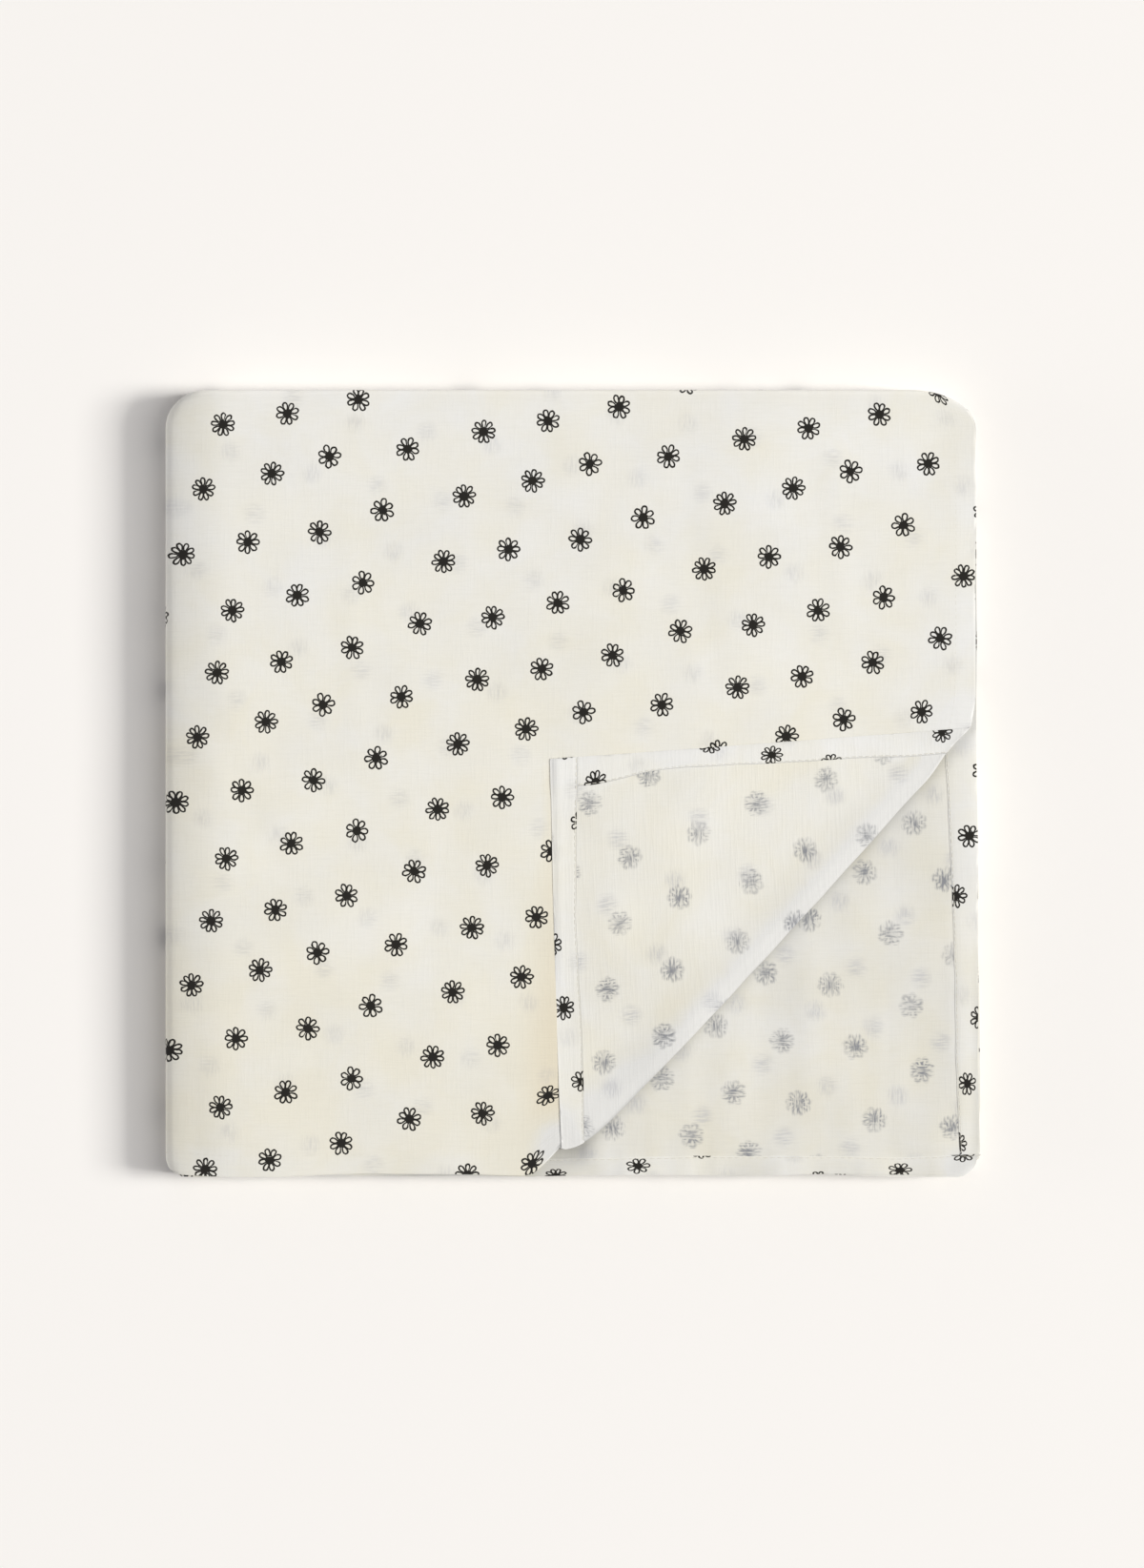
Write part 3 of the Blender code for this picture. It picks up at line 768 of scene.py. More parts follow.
def cut(bm, inside, point, normal):
    """Cuts the sheet's faces that pass the `inside` test along a line in plan."""
    faces = [face for face in bm.faces if inside(face.calc_center_median())]
    edges = {edge for face in faces for edge in face.edges}
    verts = {vert for face in faces for vert in face.verts}
    bmesh.ops.bisect_plane(
        bm,
        geom=[*verts, *edges, *faces],
        dist=1e-6,
        plane_co=Vector((point[0], point[1], 0)),
        plane_no=Vector((normal[0], normal[1], 0)),
    )


def cut_ear_lines(bm, cloth):
    """Fine lines along the turned corner's fold, where the cloth bends most."""
    places = spread(0, cloth.ear_span, EAR_LINE_STEP)
    places += [cloth.ear_span + back * MM for back in LINES_AFTER_EAR]
    places += [-back * MM for back in LINES_BEFORE_EAR]
    for place in places:

        def near(centre):
            beyond = cloth.ear_place(centre.x, centre.y)[0]
            return centre.x > cloth.left_line and abs(beyond - place) < CUT_NEAR

        point = cloth.ear_start + cloth.ear_outward * place
        cut(bm, near, point, cloth.ear_outward)
        cut_margin_lines(bm, cloth, point)


def cut_margin_lines(bm, cloth, point):
    """The same line on the hems' margins, which lie mirrored once they are turned under."""
    outward = cloth.ear_outward
    across_y = point.y + (point.x - RIGHT) * outward.x / outward.y
    across_x = point.x + (point.y - FRONT) * outward.y / outward.x
    right, front = RIGHT + cloth.hem_span, FRONT - cloth.hem_span
    share_right = cloth.hem_widths(RIGHT, across_y)[0] / cloth.hem_width
    share_front = cloth.hem_widths(across_x, FRONT)[1] / cloth.hem_width

    def right_margin(centre):
        return centre.x > right and abs(centre.y - across_y) < MARGIN_CUT_NEAR

    def front_margin(centre):
        return centre.y < front and abs(centre.x - across_x) < MARGIN_CUT_NEAR

    cut(bm, right_margin, (right, across_y), (-outward.x * share_right, outward.y))
    cut(bm, front_margin, (across_x, front), (outward.x, -outward.y * share_front))


def cut_shade_lines(bm, cloth):
    """Fine lines on the second layer, which lies mirrored under the top one, by the fold."""
    mirror = RIGHT + cloth.far_left
    normal = Vector((-cloth.ear_outward.x, cloth.ear_outward.y))
    for away in LINES_UNDER_EAR:
        point = EAR_LINE_RIGHT + cloth.ear_outward * away * MM
        point.x = mirror - point.x

        def near(centre):
            aside = (Vector(centre.xy) - point).dot(normal)
            return centre.x < cloth.far_left + EAR_SHOWS and abs(aside) < CUT_NEAR

        cut(bm, near, point, normal)


def flat_sheet(cloth):
    """The cloth and its hem margins before folding: one layer of faces, printed side up."""
    columns, rows = cloth.columns(), cloth.rows()
    bm = bmesh.new()
    last_column, last_row = len(columns) - 1, len(rows) - 1
    bmesh.ops.create_grid(bm, x_segments=last_column, y_segments=last_row, size=1)
    for vert in bm.verts:
        column = round((1 + vert.co.x) / 2 * last_column)
        row = round((1 + vert.co.y) / 2 * last_row)
        vert.co = (columns[last_column - column], rows[row], 0)
    cut_ear_lines(bm, cloth)
    cut_shade_lines(bm, cloth)
    bmesh.ops.remove_doubles(bm, verts=bm.verts, dist=SHORTEST_EDGE)
    bmesh.ops.triangulate(bm, faces=[face for face in bm.faces if len(face.verts) > 4])
    bmesh.ops.recalc_face_normals(bm, faces=bm.faces)
    if sum(face.normal.z for face in bm.faces) < 0:
        bmesh.ops.reverse_faces(bm, faces=bm.faces)
    return bm


def thicken(bm, thickness):
    """Gives the flat sheet its wrong side, which takes the second material."""
    made = bmesh.ops.extrude_face_region(bm, geom=bm.faces[:])["geom"]
    wrong_verts = {item for item in made if isinstance(item, bmesh.types.BMVert)}
    for vert in bm.verts:
        vert.co.z = -thickness / 2 if vert in wrong_verts else thickness / 2
    for face in bm.faces:
        face.material_index = int(all(vert in wrong_verts for vert in face.verts))
    bmesh.ops.recalc_face_normals(bm, faces=bm.faces)


def lay_print(bm, cloth):
    """UV maps in metres of cloth: the print, and the print of the layer underneath."""
    print_map = bm.loops.layers.uv.new("print")
    below_map = bm.loops.layers.uv.new("print_below")
    for face in bm.faces:
        centre = face.calc_center_median()
        column_side = -1 if centre.x > cloth.middle.x else 1
        on_flap = cloth.ear_place(centre.x, centre.y)[0] > cloth.ear_radius
        for loop in face.loops:
            flat = loop.vert.co
            loop[print_map].uv = cloth.print_place(flat.x, flat.y)
            if on_flap:
                loop[below_map].uv = cloth.place(flat).xy
            else:
                loop[below_map].uv = Vector((column_side * flat.x, flat.y)) + BELOW_SHIFT


def new_piece(name, bm, *materials):
    """Puts a finished mesh into the scene as an object with these materials."""
    mesh = bpy.data.meshes.new(name)
    bm.to_mesh(mesh)
    bm.free()
    for material in materials:
        mesh.materials.append(material)
    piece = bpy.data.objects.new(name, mesh)
    bpy.context.scene.collection.objects.link(piece)
    return piece


def make_cloth(settings):
    cloth = FoldedCloth(settings)
    bm = flat_sheet(cloth)
    thicken(bm, cloth.thickness)
    lay_print(bm, cloth)
    whiteness = bm.verts.layers.float.new("whiteness")
    shade = bm.verts.layers.float.new("shade")
    for vert in bm.verts:
        folded = cloth.place(vert.co)
        # The shade layer holds painted shade, and painted light where it is below nothing
        vert[whiteness], vert[shade] = cloth.tint(vert.co, folded)
        vert.co = folded
    sides = printed_side_material(settings), wrong_side_material(settings)
    piece = new_piece("printed_muslin", bm, *sides)
    piece.data.shade_smooth()
    piece.data.set_sharp_from_angle(angle=SHARP_ANGLE)
    return piece


# The hems' stitching


def stitch_places(cloth, settings):
    """Middles and directions of all stitches, on the printed side of the flat sheet.

    They are drawn into the cloth there, and stand proud of the turned hem.
    """
    step = settings.stitch_length + settings.stitch_gap
    proud = cloth.thickness / 2
    sunk = proud - STITCH_SUNK * settings.thread_diameter
    far_left, far_back = cloth.far_left, cloth.far_back
    for edge, side, start, end, across in (
        (RIGHT, 1, FRONT, far_back, 0),
        (far_left, -1, FRONT, far_back, 0),
        (far_back, 1, far_left, RIGHT, 1),
        (FRONT, -1, far_left, RIGHT, 1),
    ):
        direction = Vector((across, 1 - across, 0))
        for along in spread(start + STITCHES_END, end - STITCHES_END, step):
            at = (edge, along) if across == 0 else (along, edge)
            width = cloth.hem_widths(*at)[across]
            inset = width - settings.stitch_inset
            margin = cloth.hem_span + cloth.hem_width * inset / width
            for out, height in ((-side * inset, sunk), (side * margin, proud)):
                place = Vector((*at, height))
                place[across] += out
                yield place, direction


def many_balls(count):
    """A mesh of at least so many low balls, numbered by a layer: one, doubled repeatedly."""
    bm = bmesh.new()
    bmesh.ops.create_uvsphere(bm, u_segments=5, v_segments=3, radius=1)
    number = bm.verts.layers.int.new("number")
    made = 1
    while made < count:
        copies = bmesh.ops.duplicate(bm, geom=[*bm.verts, *bm.edges, *bm.faces])["geom"]
        for item in copies:
            if isinstance(item, bmesh.types.BMVert):
                item[number] += made
        made *= 2
    spare = [vert for vert in bm.verts if vert[number] >= count]
    bmesh.ops.delete(bm, geom=spare, context="VERTS")
    return bm, number


def make_stitches(settings):
    """One piece of thread: a ball for each stitch, drawn out at its place."""
    cloth = FoldedCloth(settings)
    radius = settings.thread_diameter / 2
    half = settings.stitch_length / 2
    places = list(stitch_places(cloth, settings))
    bm, number = many_balls(len(places))
    for vert in bm.verts:
        middle, direction = places[vert[number]]
        across = Vector((direction.y, direction.x, 0))
        flat = middle + direction * (vert.co.z * half) + across * (vert.co.x * radius)
        flat.z += vert.co.y * radius
        vert.co = cloth.place(flat)
    bmesh.ops.recalc_face_normals(bm, faces=bm.faces)
    piece = new_piece("hem_stitching", bm, thread_material(settings))
    piece.data.shade_smooth()
    return piece


# Materials


def linear(code):
    """A linear colour from an sRGB hex value such as "#F2EFE6"."""
    parts = [int(code[i : i + 2], 16) / 255 for i in (1, 3, 5)]
    return (*[c / 12.92 if c <= 0.04045 else ((c + 0.055) / 1.055) ** 2.4 for c in parts], 1.0)


def set_inputs(tree, node, inputs):
    """Links or sets a node's inputs.

    They are a tuple, in the node's own order, or a dictionary by name or number. An input
    that is given as a node is linked to that node's first output in use.
    """
    given = inputs.items() if isinstance(inputs, dict) else enumerate(inputs)
    for key, value in given:
        if isinstance(value, bpy.types.Node):
            value = next(output for output in value.outputs if output.enabled)
        if isinstance(value, bpy.types.NodeSocket):
            tree.links.new(value, node.inputs[key])
        else:
            node.inputs[key].default_value = value


def add_node(tree, kind, inputs=(), operation=None, **settings):
    """Adds a node with its options and inputs. In what follows, `add` is this for one tree."""
    node = tree.nodes.new(kind)
    if operation:
        node.operation = operation
    for name, value in settings.items():
        setattr(node, name, value)
    set_inputs(tree, node, inputs)
    return node


def new_material(name):
    material = bpy.data.materials.new(name)
    material.use_nodes = True
    tree = material.node_tree
    return material, tree, partial(add_node, tree), tree.nodes["Principled BSDF"]


def new_group(name, takes, gives):
    """Starts a node group. "Place" goes in as a vector, and all else in and out is floats."""
    tree = bpy.data.node_groups.new(name, "ShaderNodeTree")
    for socket in takes:
        kind = "NodeSocketVector" if socket == "Place" else "NodeSocketFloat"
        tree.interface.new_socket(socket, in_out="INPUT", socket_type=kind)
    for socket in gives:
        tree.interface.new_socket(socket, in_out="OUTPUT", socket_type="NodeSocketFloat")
    add = partial(add_node, tree)
    return tree, add, add("NodeGroupInput").outputs


def daisy_group():
    """Outline daisies of seven to nine petals, scattered on a sloping lattice.

    Place is in millimetres of cloth. Softness blurs the drawing. Ink is the drawing, and
    Blot a soft spot that stands for a daisy seen through another layer.
    """
    tree, add, given = new_group("daisy_print", ("Place", "Softness"), ("Ink", "Blot"))
    place, softness = given["Place"], given["Softness"]
    high = add(MATH, (1.0, softness), "ADD")
    low = add(MATH, (1.0, softness), "SUBTRACT")
    key, cell = daisy_cell(add, place)
    first = add(RANDOM, {"W": key}, noise_dimensions="1D")
    hand = add(NOISE, {"Vector": place, "Scale": WOBBLE_SCALE, "Detail": 1.0})
    local = daisy_place(add, place, cell, first, hand)
    radius = add(VECTOR_MATH, (local,), "LENGTH")
    petals, along, across = petal_place(add, local, radius, key, first)
    loop = petal_loop(add, petals, along, across, high, low)

    # The solid heart, not quite round
    uneven = add(MATH, (hand.outputs["Fac"], 1.0, 0.5), "MULTIPLY_ADD")
    uneven = add(MATH, (uneven, radius), "MULTIPLY")
    uneven = add(MATH, (uneven, HEART_RADIUS), "DIVIDE")
    heart = add(MAP_RANGE, (uneven, high, low))
    ink = add(MATH, (loop, heart), "MAXIMUM")
    blot = add(MAP_RANGE, (radius, BLOT_EDGE, BLOT_MIDDLE), interpolation_type="SMOOTHSTEP")
    add("NodeGroupOutput", {"Ink": ink, "Blot": blot})
    return tree


def daisy_cell(add, place):
    """Which cell of the lattice a place is in: the cell's own key, and its middle."""
    area = PRINT_STEP_A[0] * PRINT_STEP_B[1] - PRINT_STEP_A[1] * PRINT_STEP_B[0]
    to_i = (PRINT_STEP_B[1] / area, -PRINT_STEP_B[0] / area, 0)
    to_j = (-PRINT_STEP_A[1] / area, PRINT_STEP_A[0] / area, 0)
    i = add(VECTOR_MATH, (place, to_i), "DOT_PRODUCT")
    i = add(MATH, (i,), "ROUND")
    j = add(VECTOR_MATH, (place, to_j), "DOT_PRODUCT")
    j = add(MATH, (j,), "ROUND")
    key = add(MATH, (j, PRINT_ROW_OFFSET, i), "MULTIPLY_ADD")
    key = add(MATH, (key, float(PRINT_REPEAT)), "FLOORED_MODULO")
    step_a = add(VECTOR_MATH, {0: PRINT_STEP_A, "Scale": i}, "SCALE")
    step_b = add(VECTOR_MATH, {0: PRINT_STEP_B, "Scale": j}, "SCALE")
    return key, add(VECTOR_MATH, (step_a, step_b), "ADD")


def daisy_place(add, place, cell, first, hand):
    """Place in the cell's daisy, which strays a little, with the drawing's slight wobble."""
    jitter = (2 * PRINT_JITTER, 2 * PRINT_JITTER, 0), (-PRINT_JITTER, -PRINT_JITTER, 0)
    shift = add(VECTOR_MATH, (first.outputs["Color"], *jitter), "MULTIPLY_ADD")
    middle = add(VECTOR_MATH, (cell, shift), "ADD")
    local = add(VECTOR_MATH, (place, middle), "SUBTRACT")
    inputs = (hand.outputs["Color"], (2 * WOBBLE, 2 * WOBBLE, 0), (-WOBBLE, -WOBBLE, 0))
    wobble = add(VECTOR_MATH, inputs, "MULTIPLY_ADD")
    return add(VECTOR_MATH, (local, wobble), "ADD")


def petal_place(add, local, radius, key, first):
    """How many petals the daisy has, and the place along and across the nearest one."""
    split = add(SPLIT, (local,))
    angle = add(MATH, (split.outputs["Y"], split.outputs["X"]), "ARCTAN2")
    petals = add(MATH, (first.outputs["Value"], MORE_PETALS, FEWEST_PETALS), "MULTIPLY_ADD")
    petals = add(MATH, (petals,), "FLOOR")
    other = add(MATH, (key, SECOND_SEED), "ADD")
    second = add(RANDOM, {"W": other}, noise_dimensions="1D")
    turned = add(MATH, (second.outputs["Value"], math.tau, angle), "MULTIPLY_ADD")
    petal_angle = add(MATH, (math.tau, petals), "DIVIDE")
    phase = add(MATH, (turned, petal_angle), "DIVIDE")
    whole = add(MATH, (phase,), "ROUND")
    part = add(MATH, (phase, whole), "SUBTRACT")
    part = add(MATH, (part, petal_angle), "MULTIPLY")
    petal = add(MATH, (whole, petals), "FLOORED_MODULO")
    name = add(JOIN, (key, petal))
    third = add(RANDOM, {"Vector": name}, noise_dimensions="2D")
    odds = add("ShaderNodeSeparateColor", (third.outputs["Color"],)).outputs

    # Each petal leans a little, and is set a little nearer or further
    lean = add(MATH, (odds[0], 2 * PETAL_LEAN, -PETAL_LEAN), "MULTIPLY_ADD")
    lean = add(MATH, (part, lean), "ADD")
    reach = add(MATH, (odds[1], REACH_VARIES, DAISY_REACH - REACH_LESS), "MULTIPLY_ADD")
    cosine = add(MATH, (lean,), "COSINE")
    along = add(MATH, (radius, cosine), "MULTIPLY")
    along = add(MATH, (along, reach), "SUBTRACT")
    sine = add(MATH, (lean,), "SINE")
    return petals, along, add(MATH, (radius, sine), "MULTIPLY")


def petal_loop(add, petals, along, across, high, low):
    """A petal is a drawn loop, wider outside: an ellipse less a smaller one."""
    widen = add(MATH, (along, PETAL_TAPER, 1.0), "MULTIPLY_ADD")
    crowd = add(MATH, (PLAIN_PETALS, petals), "DIVIDE")
    crowd = add(MATH, (crowd, CROWDING), "POWER")
    width = add(MATH, (widen, crowd), "MULTIPLY")
    width = add(MATH, (width, PETAL_HALF_WIDTH), "MULTIPLY")
    masks = []
    for inward in (0.0, OUTLINE):
        half_length = PETAL_HALF_LENGTH - inward
        long_share = add(MATH, (along, half_length), "DIVIDE")
        half_width = add(MATH, (width, inward), "SUBTRACT")
        wide_share = add(MATH, (across, half_width), "DIVIDE")
        pair = add(JOIN, (long_share, wide_share))
        size = add(VECTOR_MATH, (pair,), "LENGTH")
        masks.append(add(MAP_RANGE, (size, high, low)))
    outside = add(MATH, (1.0, masks[1]), "SUBTRACT")
    return add(MATH, (masks[0], outside), "MULTIPLY")


def drawn_out_noise(add, place, stretch, shift, edges):
    """Noise drawn out along the threads, from 0 at the first edge to 1 at the second."""
    inputs = {"Vector": place, "Scale": (*stretch, 1), "Location": (shift, 2 * shift, 0)}
    drawn = add("ShaderNodeMapping", inputs)
    yarn = add(NOISE, {"Vector": drawn, "Scale": 1.0, "Detail": 2.0, "Roughness": 0.6})
    return add(MAP_RANGE, (yarn, *edges))


def muslin_group():
    """Plain-woven cotton gauze: its weave, its thick and thin threads, and its soft tints.

    Place is in millimetres of cloth. Tint is a mottling between 0 and 1, Threads marks
    thick yarns both ways, Streaks breaks up what shows between the threads, one way in
    some places and the other way in others, and Height is the relief in millimetres.
    """
    gives = ("Tint", "Threads", "Streaks", "Height")
    tree, add, given = new_group("muslin_weave", ("Place",), gives)
    place = given["Place"]

    # Over and under: two sines whose product is the plain weave's chequer of crossings
    turns = math.pi / THREAD_SPACING
    phases = add(VECTOR_MATH, {0: place, "Scale": turns}, "SCALE")
    sines = add(VECTOR_MATH, (phases,), "SINE")
    split = add(SPLIT, (sines,)).outputs
    weave = add(MATH, (split["X"], split["Y"]), "MULTIPLY")

    # Slubs, and the streaks of what shows through, along the warp and along the weft
    warp = drawn_out_noise(add, place, SLUB_STRETCH, SLUB_SHIFT, WARP_SLUB_EDGES)
    weft = drawn_out_noise(add, place, SLUB_STRETCH[::-1], SLUB_SHIFT, WEFT_SLUB_EDGES)
    threads = add(MATH, (warp, WARP_SLUBS), "MULTIPLY")
    threads = add(MATH, (weft, WEFT_SLUBS, threads), "MULTIPLY_ADD")
    warp = drawn_out_noise(add, place, STREAK_STRETCH, STREAK_SHIFT, STREAK_EDGES)
    weft = drawn_out_noise(add, place, STREAK_STRETCH[::-1], STREAK_SHIFT, STREAK_EDGES)
    way = add(NOISE, {"Vector": place, "Scale": WAY_SCALE, "Detail": 0.0})
    way = add(MAP_RANGE, (way, *WAY_EDGES))
    streaks = add(MIX, {0: way, 2: warp, 3: weft}, data_type="FLOAT")

    tint = add(NOISE, {"Vector": place, **TINT_NOISE})
    slubs = add(MATH, (threads, SLUB_RELIEF), "MULTIPLY")
    height = add(MATH, (weave, WEAVE_RELIEF, slubs), "MULTIPLY_ADD")
    add("NodeGroupOutput", (tint, threads, streaks, height))
    return tree


def cloth_place(add, name):
    """A UV map in metres of cloth, read in millimetres."""
    uv = add("ShaderNodeUVMap", uv_map=name)
    return add(VECTOR_MATH, {0: uv, "Scale": 1 / MM}, "SCALE")


def read_tint(add, name):
    """A tint that the cloth's mesh holds at each of its points."""
    return add("ShaderNodeAttribute", attribute_name=name).outputs["Fac"]


def ground_colour(add, weave, settings):
    """Ivory cotton, a little creamier or greyer from place to place and thread to thread, darkened by
    the painted shade and lightened by the painted light that the mesh holds.
    """
    whiteness, shade = read_tint(add, "whiteness"), read_tint(add, "shade")
    mottle = add(MAP_RANGE, (weave["Tint"], *MOTTLING))
    share = add(MATH, (mottle, whiteness), "ADD", use_clamp=True)
    inputs = {0: share, 6: linear(settings.cream_hex), 7: linear(settings.white_hex)}
    base = add(MIX, inputs, data_type="RGBA")
    warmth = add(MATH, (whiteness, WARMING), "MULTIPLY", use_clamp=True)
    warmed = add(MIX, {0: warmth, 6: base, 7: linear(settings.warm_hex)}, data_type="RGBA")
    threads = add(MAP_RANGE, (weave["Threads"], *THREAD_LIGHT))
    threads = add(MATH, (weave["Tint"], TINT_LIGHT, threads), "MULTIPLY_ADD")
    # The mesh's shade is painted shade, and painted light where it is below nothing
    lit = add(MATH, (threads, shade), "SUBTRACT")
    lit = add(MATH, (weave["Streaks"], STREAK_LIGHT, lit), "MULTIPLY_ADD")
    return add(VECTOR_MATH, {0: warmed, "Scale": lit}, "SCALE")


def seen_through(add, ground, weave, daisies, amount, settings):
    """Adds the soft grey-blue spots of the print on the layer underneath."""
    inputs = {"Place": cloth_place(add, "print_below"), "Softness": BELOW_SOFTNESS}
    below = add(GROUP, inputs, node_tree=daisies)
    broken = add(MAP_RANGE, (weave["Streaks"], 0.0, 1.0, BELOW_LEAST * amount, amount))
    faint = add(MATH, (below.outputs["Blot"], broken), "MULTIPLY")
    return add(MIX, {0: faint, 6: ground, 7: linear(settings.shadow_ink_hex)}, data_type="RGBA")


def start_muslin(name, softness, below, settings):
    """What both sides have: the weave, the print at some softness, and the ground."""
    material, tree, add, shader = new_material(name)
    daisies = bpy.data.node_groups.get("daisy_print") or daisy_group()
    muslin = bpy.data.node_groups.get("muslin_weave") or muslin_group()
    place = cloth_place(add, "print")
    weave = add(GROUP, {"Place": place}, node_tree=muslin).outputs
    drawn = add(GROUP, {"Place": place, "Softness": softness}, node_tree=daisies).outputs
    ground = ground_colour(add, weave, settings)
    ground = seen_through(add, ground, weave, daisies, below, settings)
    return material, tree, add, shader, weave, drawn, ground


def finish_muslin(tree, add, shader, weave, ground, ink, ink_hex):
    """Matt cotton with a faint nap: the inked ground, its roughness, sheen and relief."""
    look = {"Roughness": 0.92, "Specular IOR Level": 0.2, "Sheen Weight": 0.12, "Sheen Roughness": 0.6}
    look["Base Color"] = add(MIX, {0: ink, 6: ground, 7: linear(ink_hex)}, data_type="RGBA")
    inputs = {"Height": weave["Height"], "Distance": MM, "Strength": 0.5}
    look["Normal"] = add("ShaderNodeBump", inputs)
    set_inputs(tree, shader, look)


def printed_side_material(settings):
    """Cotton muslin, plain woven, with a pigment print that sits on top of its threads."""
    name = "muslin_printed_side"
    started = start_muslin(name, OWN_SOFTNESS, PRINTED_SIDE_BELOW, settings)
    material, tree, add, shader, weave, drawn, ground = started
    finish_muslin(tree, add, shader, weave, ground, drawn["Ink"], settings.ink_hex)
    return material


def wrong_side_material(settings):
    """The same muslin from behind: the ink shows between the threads, grey and broken."""
    name = "muslin_wrong_side"
    started = start_muslin(name, BACK_SOFTNESS, WRONG_SIDE_BELOW, settings)
    material, tree, add, shader, weave, drawn, ground = started
    broken = add(MAP_RANGE, (weave["Streaks"], *BACK_INK_BROKEN))
    ink = add(MATH, (drawn["Ink"], broken), "MULTIPLY")
    uneven = add(MAP_RANGE, (weave["Tint"], *BACK_INK_UNEVEN))
    ink = add(MATH, (ink, uneven), "MULTIPLY")
    ink = add(MATH, (drawn["Blot"], BACK_BLOT, ink), "MULTIPLY_ADD", use_clamp=True)
    finish_muslin(tree, add, shader, weave, ground, ink, settings.back_ink_hex)
    return material


def fine_noise(add, scale, detail):
    """Noise in the piece's own space, for a grain finer than a millimetre."""
    coords = add("ShaderNodeTexCoord").outputs["Object"]
    return add(NOISE, {"Vector": coords, "Scale": scale, "Detail": detail}).outputs["Fac"]


def thread_material(settings):
    """Spun sewing thread, a greyish ivory, with the fine twist that catches the light."""
    material, tree, add, shader = new_material("sewing_thread")
    twist = fine_noise(add, scale=1800.0, detail=1.0)
    inputs = {0: twist, 6: linear(settings.thread_hex), 7: linear(settings.cream_hex)}
    colour = add(MIX, inputs, data_type="RGBA")
    set_inputs(tree, shader, {"Base Color": colour, "Roughness": 0.6})
    return material


def floor_material(settings):
    """A matt paper sweep, almost white and slightly warm."""
    material, tree, add, shader = new_material("paper_sweep")
    grain = fine_noise(add, scale=900.0, detail=2.0)
    rough = add(MAP_RANGE, {0: grain, "To Min": 0.86, "To Max": 0.94})
    look = {"Base Color": linear(settings.floor_hex), "Roughness": rough}
    set_inputs(tree, shader, {**look, "Specular IOR Level": 0.1})
    return material


# The stage


def make_floor(settings):
    """A square floor, just below the blanket so that the two don't fight."""
    bm = bmesh.new()
    bmesh.ops.create_grid(bm, x_segments=1, y_segments=1, size=settings.floor_size / 2)
    bmesh.ops.translate(bm, verts=bm.verts, vec=(0, 0, -settings.floor_gap))
    new_piece("floor", bm, floor_material(settings))


def add_panel(name, side, elevation, width, height, power, settings):
    """A soft rectangular light far off on the right (side 1) or the left (side -1)."""
    distance = settings.light_distance
    data = bpy.data.lights.new(name, "AREA")
    data.shape = "RECTANGLE"
    data.size = 2 * distance * math.tan(width / 2)
    data.size_y = 2 * distance * math.tan(height / 2)
    data.energy = power
    data.color = linear(settings.light_hex)[:3]
    light = bpy.data.objects.new(name, data)
    direction = Vector((side * math.cos(elevation), 0, math.sin(elevation)))
    light.location = direction * distance
    light.rotation_euler = (-direction).to_track_quat("-Z", "Y").to_euler()
    bpy.context.scene.collection.objects.link(light)


def make_lights(settings):
    """A window and a tall soft panel above it on the right, a weak low card, a surround."""
    elevation, width, height = settings.light_elevation, settings.light_width, settings.light_height
    add_panel("window", 1, elevation, width, height, settings.light_power, settings)
    elevation, height = settings.panel_elevation, settings.panel_height
    add_panel("soft_panel", 1, elevation, width, height, settings.panel_power, settings)
    elevation, side = settings.card_elevation, settings.card_width
    add_panel("white_card", -1, elevation, side, side, settings.card_power, settings)

    world = bpy.data.worlds.new("white_surround")
    world.use_nodes = True
    background = world.node_tree.nodes["Background"]
    background.inputs["Color"].default_value = linear(settings.surround_hex)
    background.inputs["Strength"].default_value = settings.surround_strength
    bpy.context.scene.world = world
    bpy.context.scene.view_settings.view_transform = "Standard"


def make_camera(settings):
    """Straight above the pile, far off with a long lens, framed as in the photograph."""
    data = bpy.data.cameras.new("camera")
    data.sensor_fit = "HORIZONTAL"
    data.sensor_width = 36
    data.lens = data.sensor_width * settings.camera_height / settings.view_width
    data.clip_end = 2 * settings.camera_height
    camera = bpy.data.objects.new("camera", data)
    camera.location = (settings.view_centre[0], settings.view_centre[1], settings.camera_height)
    bpy.context.scene.collection.objects.link(camera)
    bpy.context.scene.camera = camera


# Settings, operators and panel


def number(name, description, default, **options):
    return bpy.props.FloatProperty(name=name, description=description, default=default, **options)


def length(name, description, default):
    return number(name, description, default, unit="LENGTH", precision=5)


def power(name, description, default):
    return number(name, description, default, unit="POWER")


def angle(name, description, degrees):
    return number(name, description, math.radians(degrees), subtype="ANGLE")


def colour(name, description, default):
    description = f"{description}, as an sRGB hex value"
    return bpy.props.StringProperty(name=name, description=description, default=default)


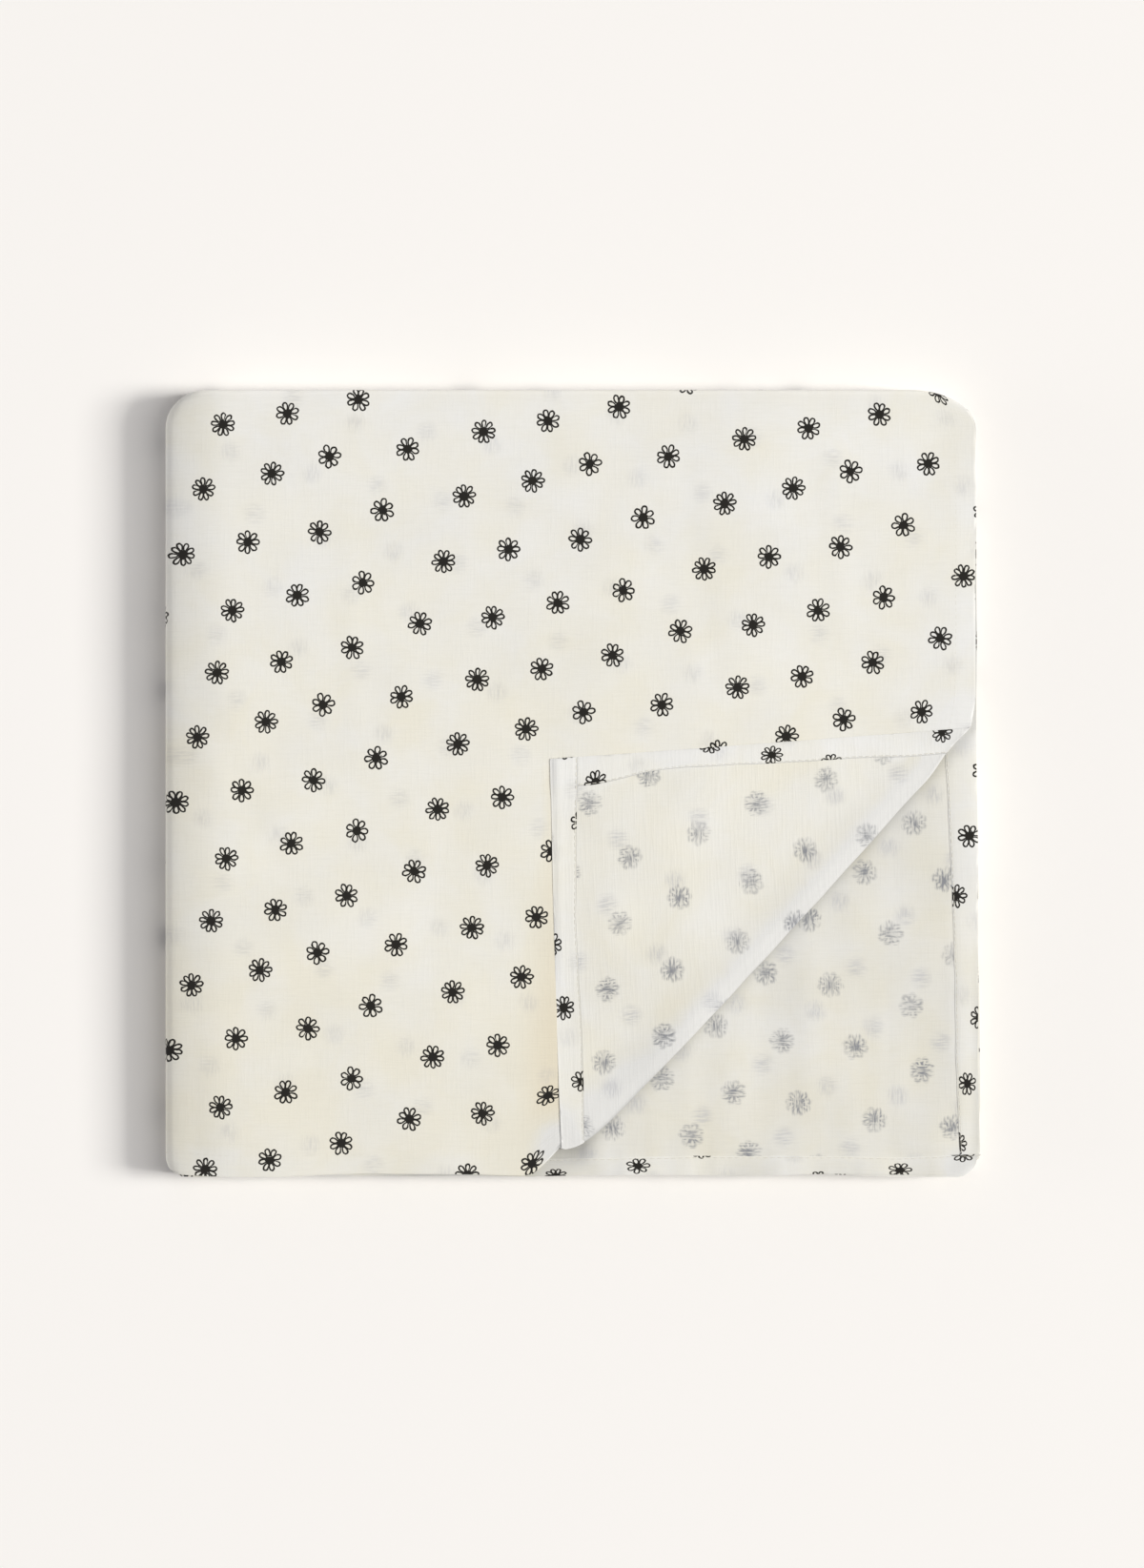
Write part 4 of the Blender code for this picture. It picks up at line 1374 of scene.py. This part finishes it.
class SwaddleClothSettings(bpy.types.PropertyGroup):
    """Sizes and colours of the blanket."""

    layer_pitch: length("Layer pitch", "Height of one layer in the pile", 1.25 * MM)
    cloth_thickness: length("Cloth thickness", "Thickness of the muslin", 0.2 * MM)
    hem_width: length("Hem width", "Width of the turned hem", 10 * MM)
    corner_fold_radius: length("Corner fold radius", "Radius of the turned corner's fold", 0.62 * MM)
    stitch_length: length("Stitch length", "Length of a stitch that shows", 2.3 * MM)
    stitch_gap: length("Stitch gap", "Gap from one stitch to the next", 0.3 * MM)
    stitch_inset: length("Stitch inset", "Distance from the hem's inner edge", 0.6 * MM)
    thread_diameter: length("Thread diameter", "Diameter of the sewing thread", 0.25 * MM)
    cream_hex: colour("Cream", "The muslin's creamier tint", "#EBE8DB")
    white_hex: colour("White", "The muslin's whiter tint", "#EAEAE8")
    # Also the colour of the warm painted shadow beside the turned corner
    warm_hex: colour("Warm", "The muslin's warmest tint", "#EDE2C8")
    thread_hex: colour("Thread", "The sewing thread", "#C8C4B7")
    ink_hex: colour("Ink", "The print on its own side", "#1F1D19")
    back_ink_hex: colour("Ink from behind", "The print on the wrong side", "#8E9095")
    shadow_ink_hex: colour("Ink below", "The print of the layer underneath", "#A9ABB4")


class SwaddleStageSettings(bpy.types.PropertyGroup):
    """The floor, lights and camera."""

    floor_size: length("Floor size", "Side of the square floor", 8.0)
    floor_gap: length("Floor gap", "How far the floor lies below the blanket", 0.1 * MM)
    floor_hex: colour("Floor", "Colour of the floor", "#F7F5F3")
    light_hex: colour("Light", "Colour of the soft light", "#FFFDF8")
    surround_hex: colour("Surround", "Colour of the surround", "#FCFBFF")
    surround_strength: number("Surround strength", "Brightness of the surround", 0.298)
    light_power: power("Light power", "Power of the window", 7500.0)
    light_distance: length("Light distance", "Distance from the pile", 30.0)
    light_width: angle("Light width", "Angle across the window and the panel", 14)
    light_height: angle("Light height", "Angle up the window", 20)
    light_elevation: angle("Light elevation", "Height angle of the window", 33)
    panel_power: power("Panel power", "Power of the soft panel above the window", 3040.0)
    panel_height: angle("Panel height", "Angle up the panel", 40)
    panel_elevation: angle("Panel elevation", "Height angle of the panel", 57)
    card_power: power("Card power", "Power of the light that comes back from the left", 1000.0)
    card_elevation: angle("Card elevation", "Height angle of that light", 8)
    card_width: angle("Card width", "Angle across that light", 20)
    camera_height: length("Camera height", "Height of the camera", 3.2)
    view_width: length("View width", "Width that the image shows", 424.6 * MM)
    view_centre: bpy.props.FloatVectorProperty(
        name="View centre",
        description="Point under the camera",
        default=(-0.35 * MM, -0.35 * MM),
        size=2,
        unit="LENGTH",
    )


class SWADDLE_OT_cloth(bpy.types.Operator):
    """Build the folded, printed muslin"""

    bl_idname = "swaddle.cloth"
    bl_label = "Muslin cloth"

    def execute(self, context):
        piece = make_cloth(context.scene.swaddle_cloth)
        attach(piece, "root")
        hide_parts("muslin_cloth")
        self.report({"INFO"}, f"{len(piece.data.polygons)} faces")
        return {"FINISHED"}


class SWADDLE_OT_stitching(bpy.types.Operator):
    """Sew the four hems"""

    bl_idname = "swaddle.stitching"
    bl_label = "Hem stitching"

    def execute(self, context):
        piece = make_stitches(context.scene.swaddle_cloth)
        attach(piece, "root")
        return {"FINISHED"}


class SWADDLE_OT_stage(bpy.types.Operator):
    """Set up the floor, the lights and the camera"""

    bl_idname = "swaddle.stage"
    bl_label = "Stage"

    def execute(self, context):
        settings = context.scene.swaddle_stage
        make_floor(settings)
        make_lights(settings)
        make_camera(settings)
        return {"FINISHED"}


class SWADDLE_PT_panel(bpy.types.Panel):
    """Sizes and colours, and a button for each piece"""

    bl_label = "Swaddle"
    bl_idname = "SWADDLE_PT_panel"
    bl_space_type = "VIEW_3D"
    bl_region_type = "UI"
    bl_category = "Swaddle"

    def draw(self, context):
        layout = self.layout
        for group, operators in (
            (context.scene.swaddle_cloth, ("swaddle.cloth", "swaddle.stitching")),
            (context.scene.swaddle_stage, ("swaddle.stage",)),
        ):
            column = layout.column()
            for name in group.bl_rna.properties.keys():
                if name not in ("rna_type", "name"):
                    column.prop(group, name)
            for operator in operators:
                column.operator(operator)


CLASSES = (
    SwaddleClothSettings,
    SwaddleStageSettings,
    SWADDLE_OT_cloth,
    SWADDLE_OT_stitching,
    SWADDLE_OT_stage,
    SWADDLE_PT_panel,
)


def register():
    for cls in CLASSES:
        bpy.utils.register_class(cls)
    bpy.types.Scene.swaddle_cloth = bpy.props.PointerProperty(type=SwaddleClothSettings)
    bpy.types.Scene.swaddle_stage = bpy.props.PointerProperty(type=SwaddleStageSettings)


def unregister():
    del bpy.types.Scene.swaddle_stage
    del bpy.types.Scene.swaddle_cloth
    for cls in reversed(CLASSES):
        bpy.utils.unregister_class(cls)


def main():
    register()
    bpy.ops.swaddle.cloth()
    bpy.ops.swaddle.stitching()
    bpy.ops.swaddle.stage()


if __name__ == "__main__":
    main()
